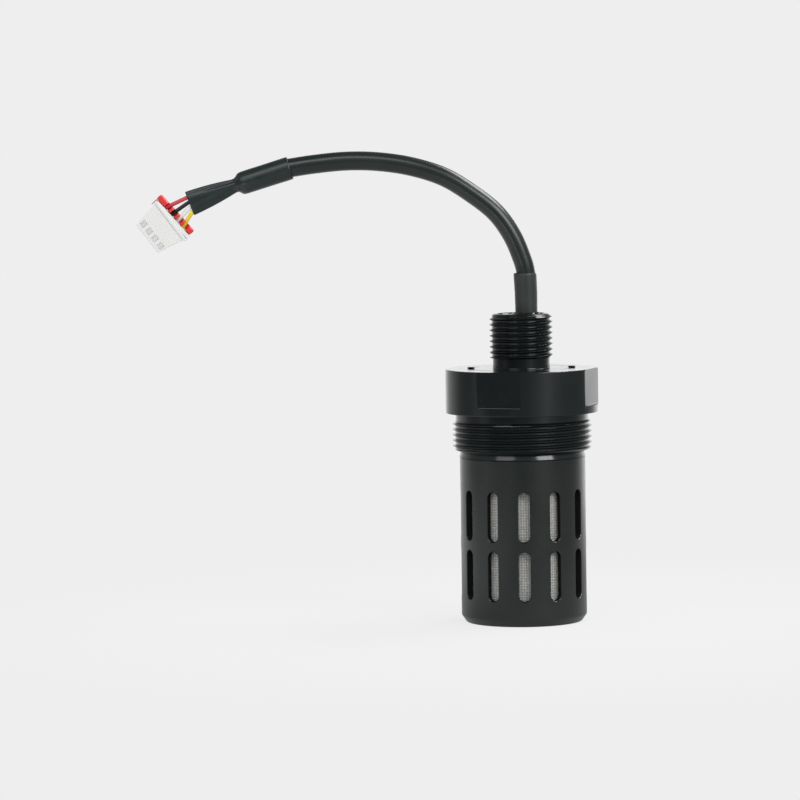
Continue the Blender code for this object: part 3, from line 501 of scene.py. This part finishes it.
cloth_look, wire, place = new_look("wire_cloth")
spot = wire.node("ShaderNodeSeparateXYZ", sockets={0: place})
x, y, z = spot.output("X"), spot.output("Y"), spot.output("Z")
bearing = wire.maths("ARCTAN2", y, x)
level = (z - CLOTH_LOW * MM) * (math.pi / (2 * cloth_step * MM))
warp_round = wire.maths("COSINE", bearing * CLOTH_AROUND) * 0.5 + 0.5
weft_round = wire.maths("COSINE", level * 2.0) * 0.5 + 0.5
over = wire.maths("COSINE", bearing * (CLOTH_AROUND / 2)) * wire.maths("COSINE", level)
warp = warp_round ** 0.5 * (0.72 + over * 0.28)
weft = weft_round ** 0.5 * (0.72 - over * 0.28)
cover = wire.maths("MAXIMUM", warp, weft)
# The holes between the wires are painted dark grey as the shade inside the guard that shows through
# them, and a wire is painted darker where it dips under its neighbour.
wires_against_hole_shade = wire.node("ShaderNodeMapRange", sockets={"Value": cover, "From Min": 0.2, "From Max": 0.8})
stain = noise(wire, place, scale=1100.0, detail=3.0)
metal = wire.mix(stain, (0.38, 0.38, 0.362), (0.84, 0.84, 0.803))
# Painted shade: dark grey in the holes and on wires where they dip under.
surface(
    cloth_look,
    Base_Color=wire.mix(wires_against_hole_shade, (0.24, 0.24, 0.23), metal),
    Metallic=wires_against_hole_shade * 0.42,
    Roughness=0.62 - cover * 0.2 + (stain - 0.5) * 0.1,
    Normal=bump(wire, cover, depth=0.12),
)
finish(cloth, cloth_look, "wire_cloth", "filter_mesh", angle=180.0)


# Body: one turned part, with a spigot inside the sleeve, a glossy land above it, the M38 x 1.5
# thread, a relief and the flange with four spanner flats milled across it, all anodised black.
MAIN_PITCH = 1.5
BODY_PROFILE = (
    (14.3, 69.3), (20.62, 69.3), (20.82, 69.18), (20.88, 68.95), (20.88, 57.5), (20.82, 57.36),
    (20.68, 57.3), (18.35, 57.3), (18.2, 57.15), (18.2, 55.3), (18.4, 55.2), (18.68, 55.08),
    (18.9, 54.88), (19.05, 54.6), (19.1, 54.2), (19.1, 47.95), (18.5, 47.3), (16.92, 46.5),
    (17.3, 45.45), (17.3, 45.2), (15.15, 45.2), (15.15, 38.95), (13.6, 38.95), (13.6, 48.45),
    (12.6, 48.45), (12.6, 63.5), (9.0, 63.5), (9.0, 66.0), (14.15, 66.0), (14.15, 69.15),
)
FLATS_ACROSS = 40.0
FLAT_LOW = 59.35
FLAT_TURN = math.radians(-19.5)


def box(name, low, high):
    """Box between two corners in mm, as an object whose place is in its mesh."""
    low, high = Vector(low) * MM, Vector(high) * MM
    bpy.ops.mesh.primitive_cube_add(size=1.0)
    piece = bpy.context.object
    piece.name = name
    piece.data.transform(Matrix.Translation((low + high) / 2) @ Matrix.Diagonal((*(high - low), 1.0)))
    return piece


def soften(piece, width, segments=2):
    """Break a piece's sharp edges by a width in mm."""
    edge = piece.modifiers.new("soften", "BEVEL")
    edge.width = width * MM
    edge.segments = segments
    edge.limit_method = "ANGLE"
    edge.angle_limit = math.radians(38.0)
    apply_all(piece)


def thread_tool(radius, pitch, depth, low, turns, mouth, fillet):
    """Helical wedge of 60 degrees that cuts a right-hand thread with rounded crests and root.

    All sizes are in mm: low is the first groove's height, mouth half the groove's width at the
    crests and fillet the size of their rounding.
    """
    slope = math.tan(math.radians(30))
    root = mouth - depth * slope
    upper = [(radius - depth, low + root - 0.6 * fillet), (radius - depth + 0.3 * fillet, low + root)]
    upper += [(radius - 0.5 * fillet, low + mouth - 0.3 * fillet)]
    upper += [(radius - 0.15 * fillet, low + mouth)]
    upper += [(radius + 0.03, low + mouth + 0.8 * fillet), (radius + 0.9, low + mouth + 0.8 * fillet)]
    lower = [(r, 2 * low - z) for r, z in reversed(upper)]
    return turned("thread_tool", (*upper, *lower), 90, pitch, turns)


body = turned("body", BODY_PROFILE, 160)
flat = box("flat", (-11.0, -23.0, FLAT_LOW), (11.0, -FLATS_ACROSS / 2, 70.5))
soften(flat, width=0.4, segments=4)
carve(body, copies(flat, around(4, FLAT_TURN)))
main_thread = thread_tool(19.1, MAIN_PITCH, depth=0.8, low=45.37, turns=7, mouth=0.675, fillet=0.022)
carve(body, main_thread)
body_look = black_anodised("body_anodised", (0.0045, 0.0078, 0.0085), roughness=0.15, grain=0.15)


# Neck fitting: disc let into the flange, with a relief and the M17 x 1.5 conduit thread above it
# and a grooved boss with a rubber ring below. It is turned and anodised as the body is.
NECK_PITCH = 1.5
NECK_PROFILE = (
    (7.15, 84.25), (7.55, 84.15), (7.8, 83.95), (8.65, 83.3), (8.65, 72.3), (8.5, 72.2), (7.9, 72.2),
    (7.8, 72.1), (7.8, 69.7), (7.9, 69.42), (8.15, 69.3), (13.7, 69.3), (13.85, 69.15), (13.85, 66.3),
    (8.7, 66.3), (8.7, 65.95), (7.2, 65.95), (7.2, 64.15), (8.7, 64.15), (8.7, 63.5), (6.0, 63.5),
    (6.0, 83.6), (6.3, 84.0), (6.7, 84.2),
)
neck = turned("neck", NECK_PROFILE, 90)
neck_thread = thread_tool(8.65, NECK_PITCH, depth=0.7, low=70.73, turns=10, mouth=0.645, fillet=0.045)
carve(neck, neck_thread)


def pin(name, radius, low, high, steps=32):
    """Plain rod on the axis, in mm."""
    return turned(name, ((0.0, high), (radius, high), (radius, low), (0.0, low)), steps)


SCREW_X = 13.75
screw_places = [Matrix.Translation((side * SCREW_X * MM, 0.0, 0.0)) for side in (-1, 1)]
for piece in (body, neck):
    hole = pin("hole", radius=1.2, low=66.0, high=71.0)
    carve(piece, copies(hole, screw_places))
finish(body, body_look, "black_anodised", "sensor_body", angle=28.0)
neck_shade = (0.0038, 0.006, 0.0068)
neck_look = black_anodised("neck_anodised", neck_shade, roughness=0.16, grain=0.1, bend=1.45)
finish(neck, neck_look, "black_anodised", "neck_fitting", angle=28.0)


def black_rubber(name):
    """Moulded black rubber with a fine dull grain."""
    look, wire, place = new_look(name)
    grain = noise(wire, place, scale=3000.0, detail=2.0)
    tone = wire.mix(grain, (0.012, 0.012, 0.013), (0.024, 0.024, 0.025))
    relief = bump(wire, grain, depth=0.01)
    return surface(look, Base_Color=tone, Roughness=grain * 0.2 + 0.5, Normal=relief)


def repaint(look, *names):
    """Give CAD nodes that keep their shape a better material."""
    for name in names:
        for slot in nodes[name].material_slots:
            slot.material = look


repaint(black_rubber("seal_rubber"), "neck_o_ring", "window_o_ring")


# Lock screws: two small blackened steel screws with hexagon sockets, driven into holes on the joint
# between disc and flange so that the fitting can't turn. Their tapered heads stand just proud.
def machined(name, shade, roughness, rings=2200.0):
    """Turned or ground metal: fine rings round the axis and a slight stain."""
    look, wire, place = new_look(name)
    radius, height = radius_and_height(wire, place)
    section = wire.node("ShaderNodeCombineXYZ", sockets={"X": radius, "Z": height})
    lines = noise(wire, section, scale=rings, detail=3.0)
    stain = noise(wire, place, scale=240.0, detail=4.0)
    tone = wire.mix(stain, tuple(0.8 * c for c in shade), tuple(min(1.0, 1.12 * c) for c in shade))
    return surface(
        look,
        Base_Color=tone,
        Metallic=1.0,
        Roughness=(lines - 0.5) * 0.2 + (stain - 0.5) * 0.15 + roughness,
        Normal=bump(wire, lines, depth=0.006),
    )


SCREW_PROFILE = (
    (0.0, 69.72), (0.95, 69.72), (1.06, 69.64), (0.75, 69.3), (0.75, 66.5), (0.6, 66.3), (0.0, 66.3),
)
screw_look = machined("screw_steel", (0.05, 0.05, 0.052), roughness=0.4)
for number, place in enumerate(screw_places, 1):
    screw = turned(f"lock_screw_head_{number}", SCREW_PROFILE, 32)
    carve(screw, pin("socket", radius=0.45, low=69.2, high=70.5, steps=6))
    screw.data.transform(place)
    finish(screw, screw_look, "steel", f"lock_screw_{number}")


# Resin: black two-part resin poured into the neck round the cable. It shrinks a little below the
# rim and climbs up the tube, where it has set to a glossy collar.
TUBE_X = 1.55
TUBE_R = 3.2
RESIN_R = 5.7
RESIN_LOW = 73.5
RESIN_EDGE = 83.5
RESIN_RISE = 1.0
RESIN_CLIMB = 2.4
RESIN_STEPS = 10
narrowing = 1.0 - (TUBE_R + 0.3) / RESIN_R
bpy.ops.mesh.primitive_circle_add(vertices=64, radius=RESIN_R * MM, location=(0.0, 0.0, RESIN_LOW * MM))
resin = bpy.context.object
resin.name = "resin"
bpy.ops.object.transform_apply()
bpy.ops.object.mode_set(mode="EDIT")
extrude((0.0, 0.0, (RESIN_EDGE - RESIN_LOW) * MM))
for step in range(1, RESIN_STEPS + 1):
    share = step / RESIN_STEPS
    before = (step - 1) / RESIN_STEPS
    size = (1.0 - share * narrowing) / (1.0 - before * narrowing)
    lift = RESIN_RISE * (share ** RESIN_CLIMB - before ** RESIN_CLIMB)
    shift = (TUBE_X / RESIN_STEPS * MM, 0.0, lift * MM)
    middle = (TUBE_X * (step - 1) / RESIN_STEPS * MM, 0.0, 0.0)
    extrude((0.0, 0.0, 0.0))
    bpy.ops.transform.resize(value=(size, size, 1.0), center_override=middle)
    bpy.ops.transform.translate(value=shift)
extrude((0.0, 0.0, (RESIN_LOW - RESIN_EDGE - RESIN_RISE) * MM))
bpy.ops.object.mode_set(mode="OBJECT")
open_alone(resin)
bpy.ops.mesh.select_non_manifold()
bpy.ops.mesh.bridge_edge_loops()
face_outwards(resin)
resin_look, wire, place = new_look("cast_resin")
ripple = noise(wire, place, scale=420.0, detail=2.0)
surface(
    resin_look,
    Base_Color=wire.mix(ripple, (0.006, 0.006, 0.007), (0.013, 0.013, 0.014)),
    Roughness=ripple * 0.12 + 0.06,
    Normal=bump(wire, ripple, depth=0.3),
)
finish(resin, resin_look, "black_resin", "potting", angle=50.0)


# Strain relief: black heat-shrink tube over the cable, set in the resin. Shrinking has left it
# satin, greyer than the jacket, and drawn in a little at its cut end.
TUBE_BEND_LOW = 87.0
TUBE_BEND_LONG = 8.2
TUBE_LEAN = 0.3
RELIEF_PROFILE = (
    (3.0, 72.0), (3.02, 85.0), (3.1, 90.0), (3.14, 94.5), (3.11, 94.9), (3.04, 95.15), (2.93, 95.2),
    (2.74, 95.12), (2.68, 94.9), (2.9, 93.5), (2.9, 72.0),
)
relief = turned("shrink_tube", RELIEF_PROFILE, 48)
for point in relief.data.vertices:
    above = max(0.0, point.co.z / MM - TUBE_BEND_LOW)
    point.co.x += (TUBE_X - TUBE_LEAN * (above / TUBE_BEND_LONG) ** 2) * MM


def heat_shrink(name, shade, roughness):
    """Shrunk tubing: satin, with fine wrinkles and faint finger marks."""
    look, wire, place = new_look(name)
    marks = noise(wire, place, scale=260.0, detail=4.0)
    wrinkles = noise(wire, place, scale=1300.0, detail=3.0)
    return surface(
        look,
        Base_Color=wire.mix(marks, tuple(0.75 * c for c in shade), tuple(1.3 * c for c in shade)),
        Roughness=(marks - 0.5) * 0.2 + roughness,
        Normal=bump(wire, wrinkles, depth=0.03),
    )


relief_look = heat_shrink("relief_shrink", (0.026, 0.0325, 0.0305), roughness=0.42)
finish(relief, relief_look, "heat_shrink", "strain_relief")


# Optics: stainless holder and its screwed ring, with the sapphire window and its seal,
# the laser and detector cans and a small temperature probe.
turned_steel = machined("turned_steel", (0.55, 0.55, 0.53), roughness=0.3)
repaint(turned_steel, "optics_holder", "retaining_ring", "mirror_holder")
can_nickel = machined("can_nickel", (0.62, 0.58, 0.5), roughness=0.22, rings=3000.0)
repaint(can_nickel, "laser_diode", "photodiode", "temperature_probe")
window_look, wire, place = new_look("sapphire")
haze = noise(wire, place, scale=900.0, detail=2.0)
surface(
    window_look,
    Base_Color=wire.mix(haze, (0.86, 0.9, 0.94), (0.93, 0.95, 0.97)),
    Roughness=haze * 0.05 + 0.01,
    Alpha=haze * 0.1 + 0.3,
    IOR=1.76,
)
repaint(window_look, "window")


# Gas cell: gold mirror in its holder on the sleeve's floor and three ground posts, which keep it
# at its distance from the window. The three posts of the boards are of the same steel.
mirror_look, wire, place = new_look("gold_mirror")
film = noise(wire, place, scale=300.0, detail=2.0)
gold = wire.mix(film, (0.88, 0.66, 0.28), (0.94, 0.74, 0.36))
surface(mirror_look, Base_Color=gold, Metallic=1.0, Roughness=film * 0.06 + 0.02)
repaint(mirror_look, "cell_mirror")
posts = [f"{place}_post_{number}" for place in ("cell", "board") for number in (1, 2, 3)]
repaint(machined("ground_steel", (0.58, 0.58, 0.57), roughness=0.26, rings=4000.0), *posts)


# Electronics: two round boards with green solder mask over copper tracks, and the moulded
# black header and processor between and above them.
board_look, wire, place = new_look("solder_mask")
tracks = wire.node(
    "ShaderNodeTexBrick", {"offset": 0.5}, {"Vector": place, "Scale": 320.0, "Mortar Size": 0.06}, "Fac"
)
weave = noise(wire, place, scale=1500.0, detail=2.0)
mask = wire.mix(weave, (0.012, 0.09, 0.035), (0.02, 0.13, 0.05))
surface(
    board_look,
    Base_Color=wire.mix(tracks * 0.8, mask, (0.045, 0.2, 0.07)),
    Roughness=weave * 0.2 + 0.25,
    Normal=bump(wire, tracks, depth=0.03),
)
repaint(board_look, "driver_board", "main_board")


def moulded_plastic(name, shade, roughness, grain=0.002):
    """Moulded plastic with a fine spark-eroded grain."""
    look, wire, place = new_look(name)
    skin = noise(wire, place, scale=3600.0, detail=2.0)
    flow = noise(wire, place, scale=220.0, detail=3.0)
    tone = wire.mix(flow, tuple(0.96 * c for c in shade), tuple(min(1.0, 1.04 * c) for c in shade))
    return surface(
        look,
        Base_Color=tone,
        Roughness=(flow - 0.5) * 0.12 + (skin - 0.5) * 0.06 + roughness,
        Normal=bump(wire, skin, depth=grain),
    )


black_moulding = moulded_plastic("black_moulding", (0.015, 0.015, 0.016), roughness=0.45)
repaint(black_moulding, "board_header", "processor_chip")


# Plug housing: white nylon, four ways at 2.5 mm, moulded with a draft, a lip round its rear and a
# low collar behind the lip. A port over each way, near the front, shows the contact's latch.
PLUG_AT = Vector((-94.61, 0.0, 111.15)) * MM
PLUG_DROP = math.radians(36.5)
COMB_TILT = math.radians(-4.5)
COMB_BACK = 1.62
WAYS = (-3.75, -1.25, 1.25, 3.75)
plug_along = Vector((-math.cos(PLUG_DROP), 0.0, -math.sin(PLUG_DROP)))
plug_row = Vector((math.sin(PLUG_DROP), 0.0, -math.cos(PLUG_DROP)))
plug_back = plug_row.cross(plug_along)
plug_turn = Matrix((plug_row, plug_along, plug_back)).transposed().to_4x4()
plug_place = Matrix.Translation(PLUG_AT) @ plug_turn


def pick(piece, rule):
    """Open a piece and select the faces whose normal meets a rule."""
    open_alone(piece)
    bpy.ops.mesh.select_mode(type="FACE")
    bpy.ops.object.mode_set(mode="OBJECT")
    for face in piece.data.polygons:
        face.select = rule(face.normal)
    bpy.ops.object.mode_set(mode="EDIT")


LIP_HALF = 6.7
LIP_STEP = 0.35
REAR_HALF = 6.2
FRONT_HALF = 4.75
FRONT_THIN = 0.97
FRONT_LONG = 7.65
housing = box("housing", (-LIP_HALF, 0.0, -2.7), (LIP_HALF, 0.9, 2.7))
pick(housing, lambda normal: normal.y > 0.9)
bpy.ops.mesh.inset(thickness=LIP_STEP * MM)
to_rear = (REAR_HALF / (LIP_HALF - LIP_STEP), 1.0, 1.0)
bpy.ops.transform.resize(value=to_rear, center_override=(0.0, 0.0, 0.0))
extrude((0.0, FRONT_LONG * MM, 0.0))
to_front = (FRONT_HALF / REAR_HALF, 1.0, FRONT_THIN)
bpy.ops.transform.resize(value=to_front, center_override=(0.0, 0.0, 0.0))
bpy.ops.mesh.select_all(action="SELECT")
bpy.ops.mesh.normals_make_consistent(inside=False)
bpy.ops.mesh.select_mode(type="VERT")
bpy.ops.object.mode_set(mode="OBJECT")
soften(housing, width=0.22, segments=3)
comb_place = Matrix.Translation((0.0, -COMB_BACK * MM, 0.0)) @ Matrix.Rotation(COMB_TILT, 4, "Z")
collar = box("collar", (-6.3, 0.95, -2.4), (6.3, 1.95, 2.4))
collar.data.transform(comb_place)
carve(housing, collar, "UNION")
for way in WAYS:
    carve(housing, box("cavity", (way - 0.7, -3.0, -0.85), (way + 0.7, 7.9, 0.85)))
    carve(housing, box("front_hole", (way - 0.5, 7.0, -0.5), (way + 0.5, 9.6, 0.5)))
    carve(housing, box("port", (way - 0.72, 5.95, -3.5), (way + 0.72, 7.5, 0.0)))
housing.data.transform(plug_place)
nylon = moulded_plastic("white_nylon", (0.745, 0.75, 0.732), roughness=0.42, grain=0.0006)
finish(housing, nylon, "white_nylon", "plug_housing")


# Retainer: red nylon comb pushed on behind the housing, a little askew as it sits on the real one.
# Its notches take the wires, and a thin clip at one end holds it to the housing.
comb = box("comb", (-7.22, -0.82, -2.2), (6.15, 0.82, 2.2))
soften(comb, width=0.45, segments=3)
for way in WAYS:
    inner = way * 0.93 + 0.12
    carve(comb, box("notch", (inner - 0.8, -3.0, -3.0), (inner + 0.8, 2.5, 0.9)))
clip = box("clip", (-0.1, 0.0, -0.9), (0.1, 2.6, 0.9))
clip.data.transform(Matrix.Translation((-6.98 * MM, 0.3 * MM, 0.0)))
carve(comb, clip, "UNION")
comb.data.transform(plug_place @ comb_place)
comb_look = moulded_plastic("red_retainer", (0.68, 0.03, 0.025), roughness=0.38)
finish(comb, comb_look, "retainer_red", "plug_retainer")


# Contacts: tinned phosphor-bronze boxes, stamped and folded, each crimped on its wire. The port
# shows the box's latch.
contact_look = machined("tinned_bronze", (0.9, 0.91, 0.87), roughness=0.6, rings=5000.0)
for number, way in enumerate(WAYS, 1):
    contact = box(f"terminal_{number}", (way - 0.55, 2.35, -0.55), (way + 0.55, 7.75, 0.55))
    soften(contact, width=0.1)
    carve(contact, box("mouth", (way - 0.35, 5.0, -0.35), (way + 0.35, 8.5, 0.35)))
    latch = box("tongue", (way - 0.66, 6.0, -2.3), (way + 0.66, 7.45, -0.5))
    carve(contact, latch, "UNION")
    contact.data.transform(plug_place)
    finish(contact, contact_look, "steel", f"contact_{number}")


# End sleeve: heat-shrink over the cable's end. It is round over the jacket, pinched where the
# jacket stops and pressed flat over the cores, with creases that fan out from the pinch.
SLEEVE_MOUTH = Vector((-62.25, 0.0, 124.75)) * MM
SLEEVE_WAIST = Vector((-77.05, 0.0, 120.26)) * MM
SLEEVE_FLARE = Vector((-89.6, 0.0, 115.5)) * MM
SLEEVE_SIDES = 40
first_way = (SLEEVE_WAIST - SLEEVE_MOUTH).normalized()
second_way = (SLEEVE_FLARE - SLEEVE_WAIST).normalized()
front = Vector((0.0, -1.0, 0.0))
first_length = (SLEEVE_WAIST - SLEEVE_MOUTH).length / MM
CREASES = 5.0
CREASE_TURN = 0.6
BEND_LONG = 2.0
# Each row is the way along in mm from the mouth, the two half widths in mm and the creases' depth.
SLEEVE_ROWS = (
    (0.25, 2.72, 2.72, 0.0), (0.0, 2.85, 2.85, 0.0), (0.0, 3.08, 3.08, 0.0), (0.15, 3.2, 3.2, 0.0),
    (2.0, 3.2, 3.2, 0.0), (6.0, 3.15, 3.18, 0.0), (10.5, 3.17, 3.17, 0.0), (13.3, 3.18, 3.1, 0.02),
    (14.1, 3.06, 2.85, 0.05), (14.6, 2.66, 2.4, 0.1), (15.0, 2.21, 2.0, 0.16),
    (15.5, 1.88, 1.72, 0.2), (16.3, 1.94, 1.66, 0.26), (17.6, 2.19, 1.56, 0.34),
    (19.4, 2.49, 1.42, 0.34), (21.9, 2.84, 1.26, 0.27), (24.5, 3.12, 1.12, 0.19),
    (27.1, 3.33, 1.03, 0.13), (28.7, 3.42, 1.0, 0.08), (29.05, 3.4, 0.96, 0.08),
    (29.15, 3.28, 0.85, 0.04), (29.0, 3.12, 0.7, 0.03), (27.7, 2.97, 0.62, 0.02),
)


def sleeve_spot(row, side):
    """Place of a point on the end sleeve: its row and its turn round the middle line."""
    along, half_up, half_front, crease = row
    bent = min(1.0, max(0.0, (along - first_length) / BEND_LONG + 0.5))
    way = first_way.lerp(second_way, bent).normalized()
    up = front.cross(way).normalized()
    if along < first_length:
        middle = SLEEVE_MOUTH + first_way * along * MM
    else:
        middle = SLEEVE_WAIST + second_way * (along - first_length) * MM
    turn = math.tau * side / SLEEVE_SIDES
    fold = 1.0 - crease * max(0.0, math.cos(CREASES * turn + CREASE_TURN)) ** 2 * abs(math.sin(turn))
    return middle + (up * half_up * math.cos(turn) + front * half_front * math.sin(turn)) * fold * MM


bpy.ops.mesh.primitive_circle_add(vertices=SLEEVE_SIDES, radius=3.0 * MM)
end_sleeve = bpy.context.object
end_sleeve.name = "cord_end_sleeve"
bpy.ops.object.mode_set(mode="EDIT")
for row in SLEEVE_ROWS[1:]:
    extrude((0.0, 0.0, MM))
bpy.ops.object.mode_set(mode="OBJECT")
for point in end_sleeve.data.vertices:
    row = round(point.co.z / MM)
    side = round(math.atan2(point.co.y, point.co.x) / math.tau * SLEEVE_SIDES)
    point.co = sleeve_spot(SLEEVE_ROWS[row], side)
face_outwards(end_sleeve)
round_off = end_sleeve.modifiers.new("round_off", "SUBSURF")
round_off.levels = 1
round_off.render_levels = 1
apply_all(end_sleeve)
end_look = heat_shrink("end_shrink", (0.012, 0.02, 0.02), roughness=0.31)
finish(end_sleeve, end_look, "heat_shrink", "end_sleeve", angle=180.0)


# Wires: four stranded cores in coloured PVC, red, black, white and yellow. They leave the
# flattened sleeve side by side, and each bends into its own way of the plug.
WIRE_R = 0.55
WIRE_COLOURS = {
    "red": (0.56, 0.05, 0.075), "black": (0.012, 0.012, 0.012),
    "white": (0.8, 0.8, 0.78), "yellow": (0.8, 0.63, 0.04),
}
wire_spread = second_way.cross(Vector((0.0, 1.0, 0.0))).normalized()


def smooth_line(points, count):
    """Evenly spaced points on a smooth curve through the given ones."""
    dense = []
    padded = [2 * points[0] - points[1], *points, 2 * points[-1] - points[-2]]
    for before, start, end, after in zip(padded, padded[1:], padded[2:], padded[3:]):
        for i in range(20):
            t = i / 20
            across = (end - before) * t + (2 * before - 5 * start + 4 * end - after) * t * t
            dense.append(start + (across + (3 * start - before - 3 * end + after) * t**3) / 2)
    dense.append(points[-1])
    reach = [0.0]
    for start, end in zip(dense, dense[1:]):
        reach.append(reach[-1] + (end - start).length)
    line = []
    nearest = 0
    for i in range(count):
        target = reach[-1] * i / (count - 1)
        while nearest < len(reach) - 2 and reach[nearest + 1] < target:
            nearest += 1
        share = (target - reach[nearest]) / (reach[nearest + 1] - reach[nearest])
        line.append(dense[nearest].lerp(dense[nearest + 1], share))
    return line


def flexible(name, points, radius, sides):
    """Round bar along a line of points, radius in mm, as a curve with closed ends."""
    curve = bpy.data.curves.new(name, "CURVE")
    curve.dimensions = "3D"
    curve.bevel_depth = radius * MM
    curve.bevel_resolution = sides
    curve.use_fill_caps = True
    line = curve.splines.new("POLY")
    line.points.add(len(points) - 1)
    for point, place in zip(line.points, points):
        point.co = (*place, 1.0)
    line.use_smooth = True
    piece = bpy.data.objects.new(name, curve)
    bpy.context.scene.collection.objects.link(piece)
    return piece


def wire_insulation(name, shade):
    """Extruded PVC: slightly glossy, with faint scuffs."""
    look, wire, place = new_look(name)
    scuffs = noise(wire, place, scale=1600.0, detail=3.0)
    tone = wire.mix(scuffs, tuple(0.94 * c for c in shade), tuple(min(1.0, 1.05 * c) for c in shade))
    relief = bump(wire, scuffs, depth=0.002)
    return surface(look, Base_Color=tone, Roughness=scuffs * 0.15 + 0.25, Normal=relief)


for (colour, shade), way in zip(WIRE_COLOURS.items(), WAYS):
    start = SLEEVE_FLARE + wire_spread * (0.2 + way * 0.53) * MM
    entry = plug_place @ Vector((way * MM, 2.0 * MM, 0.0))
    mouth = plug_place @ Vector((way * MM, 0.1 * MM, 0.0))
    inner_end = start - second_way * 1.2 * MM
    core_line = smooth_line([inner_end, start, mouth, entry], count=24)
    core = flexible(f"core_{colour}", core_line, WIRE_R, sides=4)
    core_look = wire_insulation(f"{colour}_insulation", shade)
    finish(core, core_look, f"wire_{colour}", f"wire_{colour}")


# Cable: round four-core signal lead with a smooth black PVC jacket, stiff enough to hold its arch.
# It comes up out of the neck beside the middle, bends over to the left and ends in the end sleeve.
CABLE_R = 2.6
CABLE_TUCKED = 11.2
CABLE_INNER_END = Vector((TUBE_X, 0.0, 68.5)) * MM
CABLE_EXIT = Vector((TUBE_X, 0.0, 95.2)) * MM
CABLE_ROUTE = (
    (0.8, 98.4), (-2.0, 105.3), (-6.35, 111.6), (-12.35, 116.6), (-20.35, 121.65), (-29.55, 124.7),
    (-38.95, 126.15), (-47.55, 126.35), (-56.15, 125.6),
)
arch = [CABLE_EXIT, *(Vector((x, 0.0, z)) * MM for x, z in CABLE_ROUTE), SLEEVE_MOUTH]
cable_end = SLEEVE_MOUTH + first_way * CABLE_TUCKED * MM
cable_line = [CABLE_INNER_END, *smooth_line(arch, count=60), cable_end]
cable_length = sum((b - a).length for a, b in zip(cable_line, cable_line[1:]))
cable = flexible("cord_cable", cable_line, CABLE_R, sides=8)
jacket_look, wire, place = new_look("cable_jacket")
drag = noise(wire, place, scale=2400.0, detail=2.0)
haze = noise(wire, place, scale=150.0, detail=4.0)
surface(
    jacket_look,
    Base_Color=wire.mix(haze, (0.009, 0.0145, 0.0135), (0.0165, 0.0235, 0.0225)),
    Roughness=(haze - 0.5) * 0.08 + 0.27,
    Normal=bump(wire, drag, depth=0.008),
)
finish(cable, jacket_look, "cable_jacket", "cable")
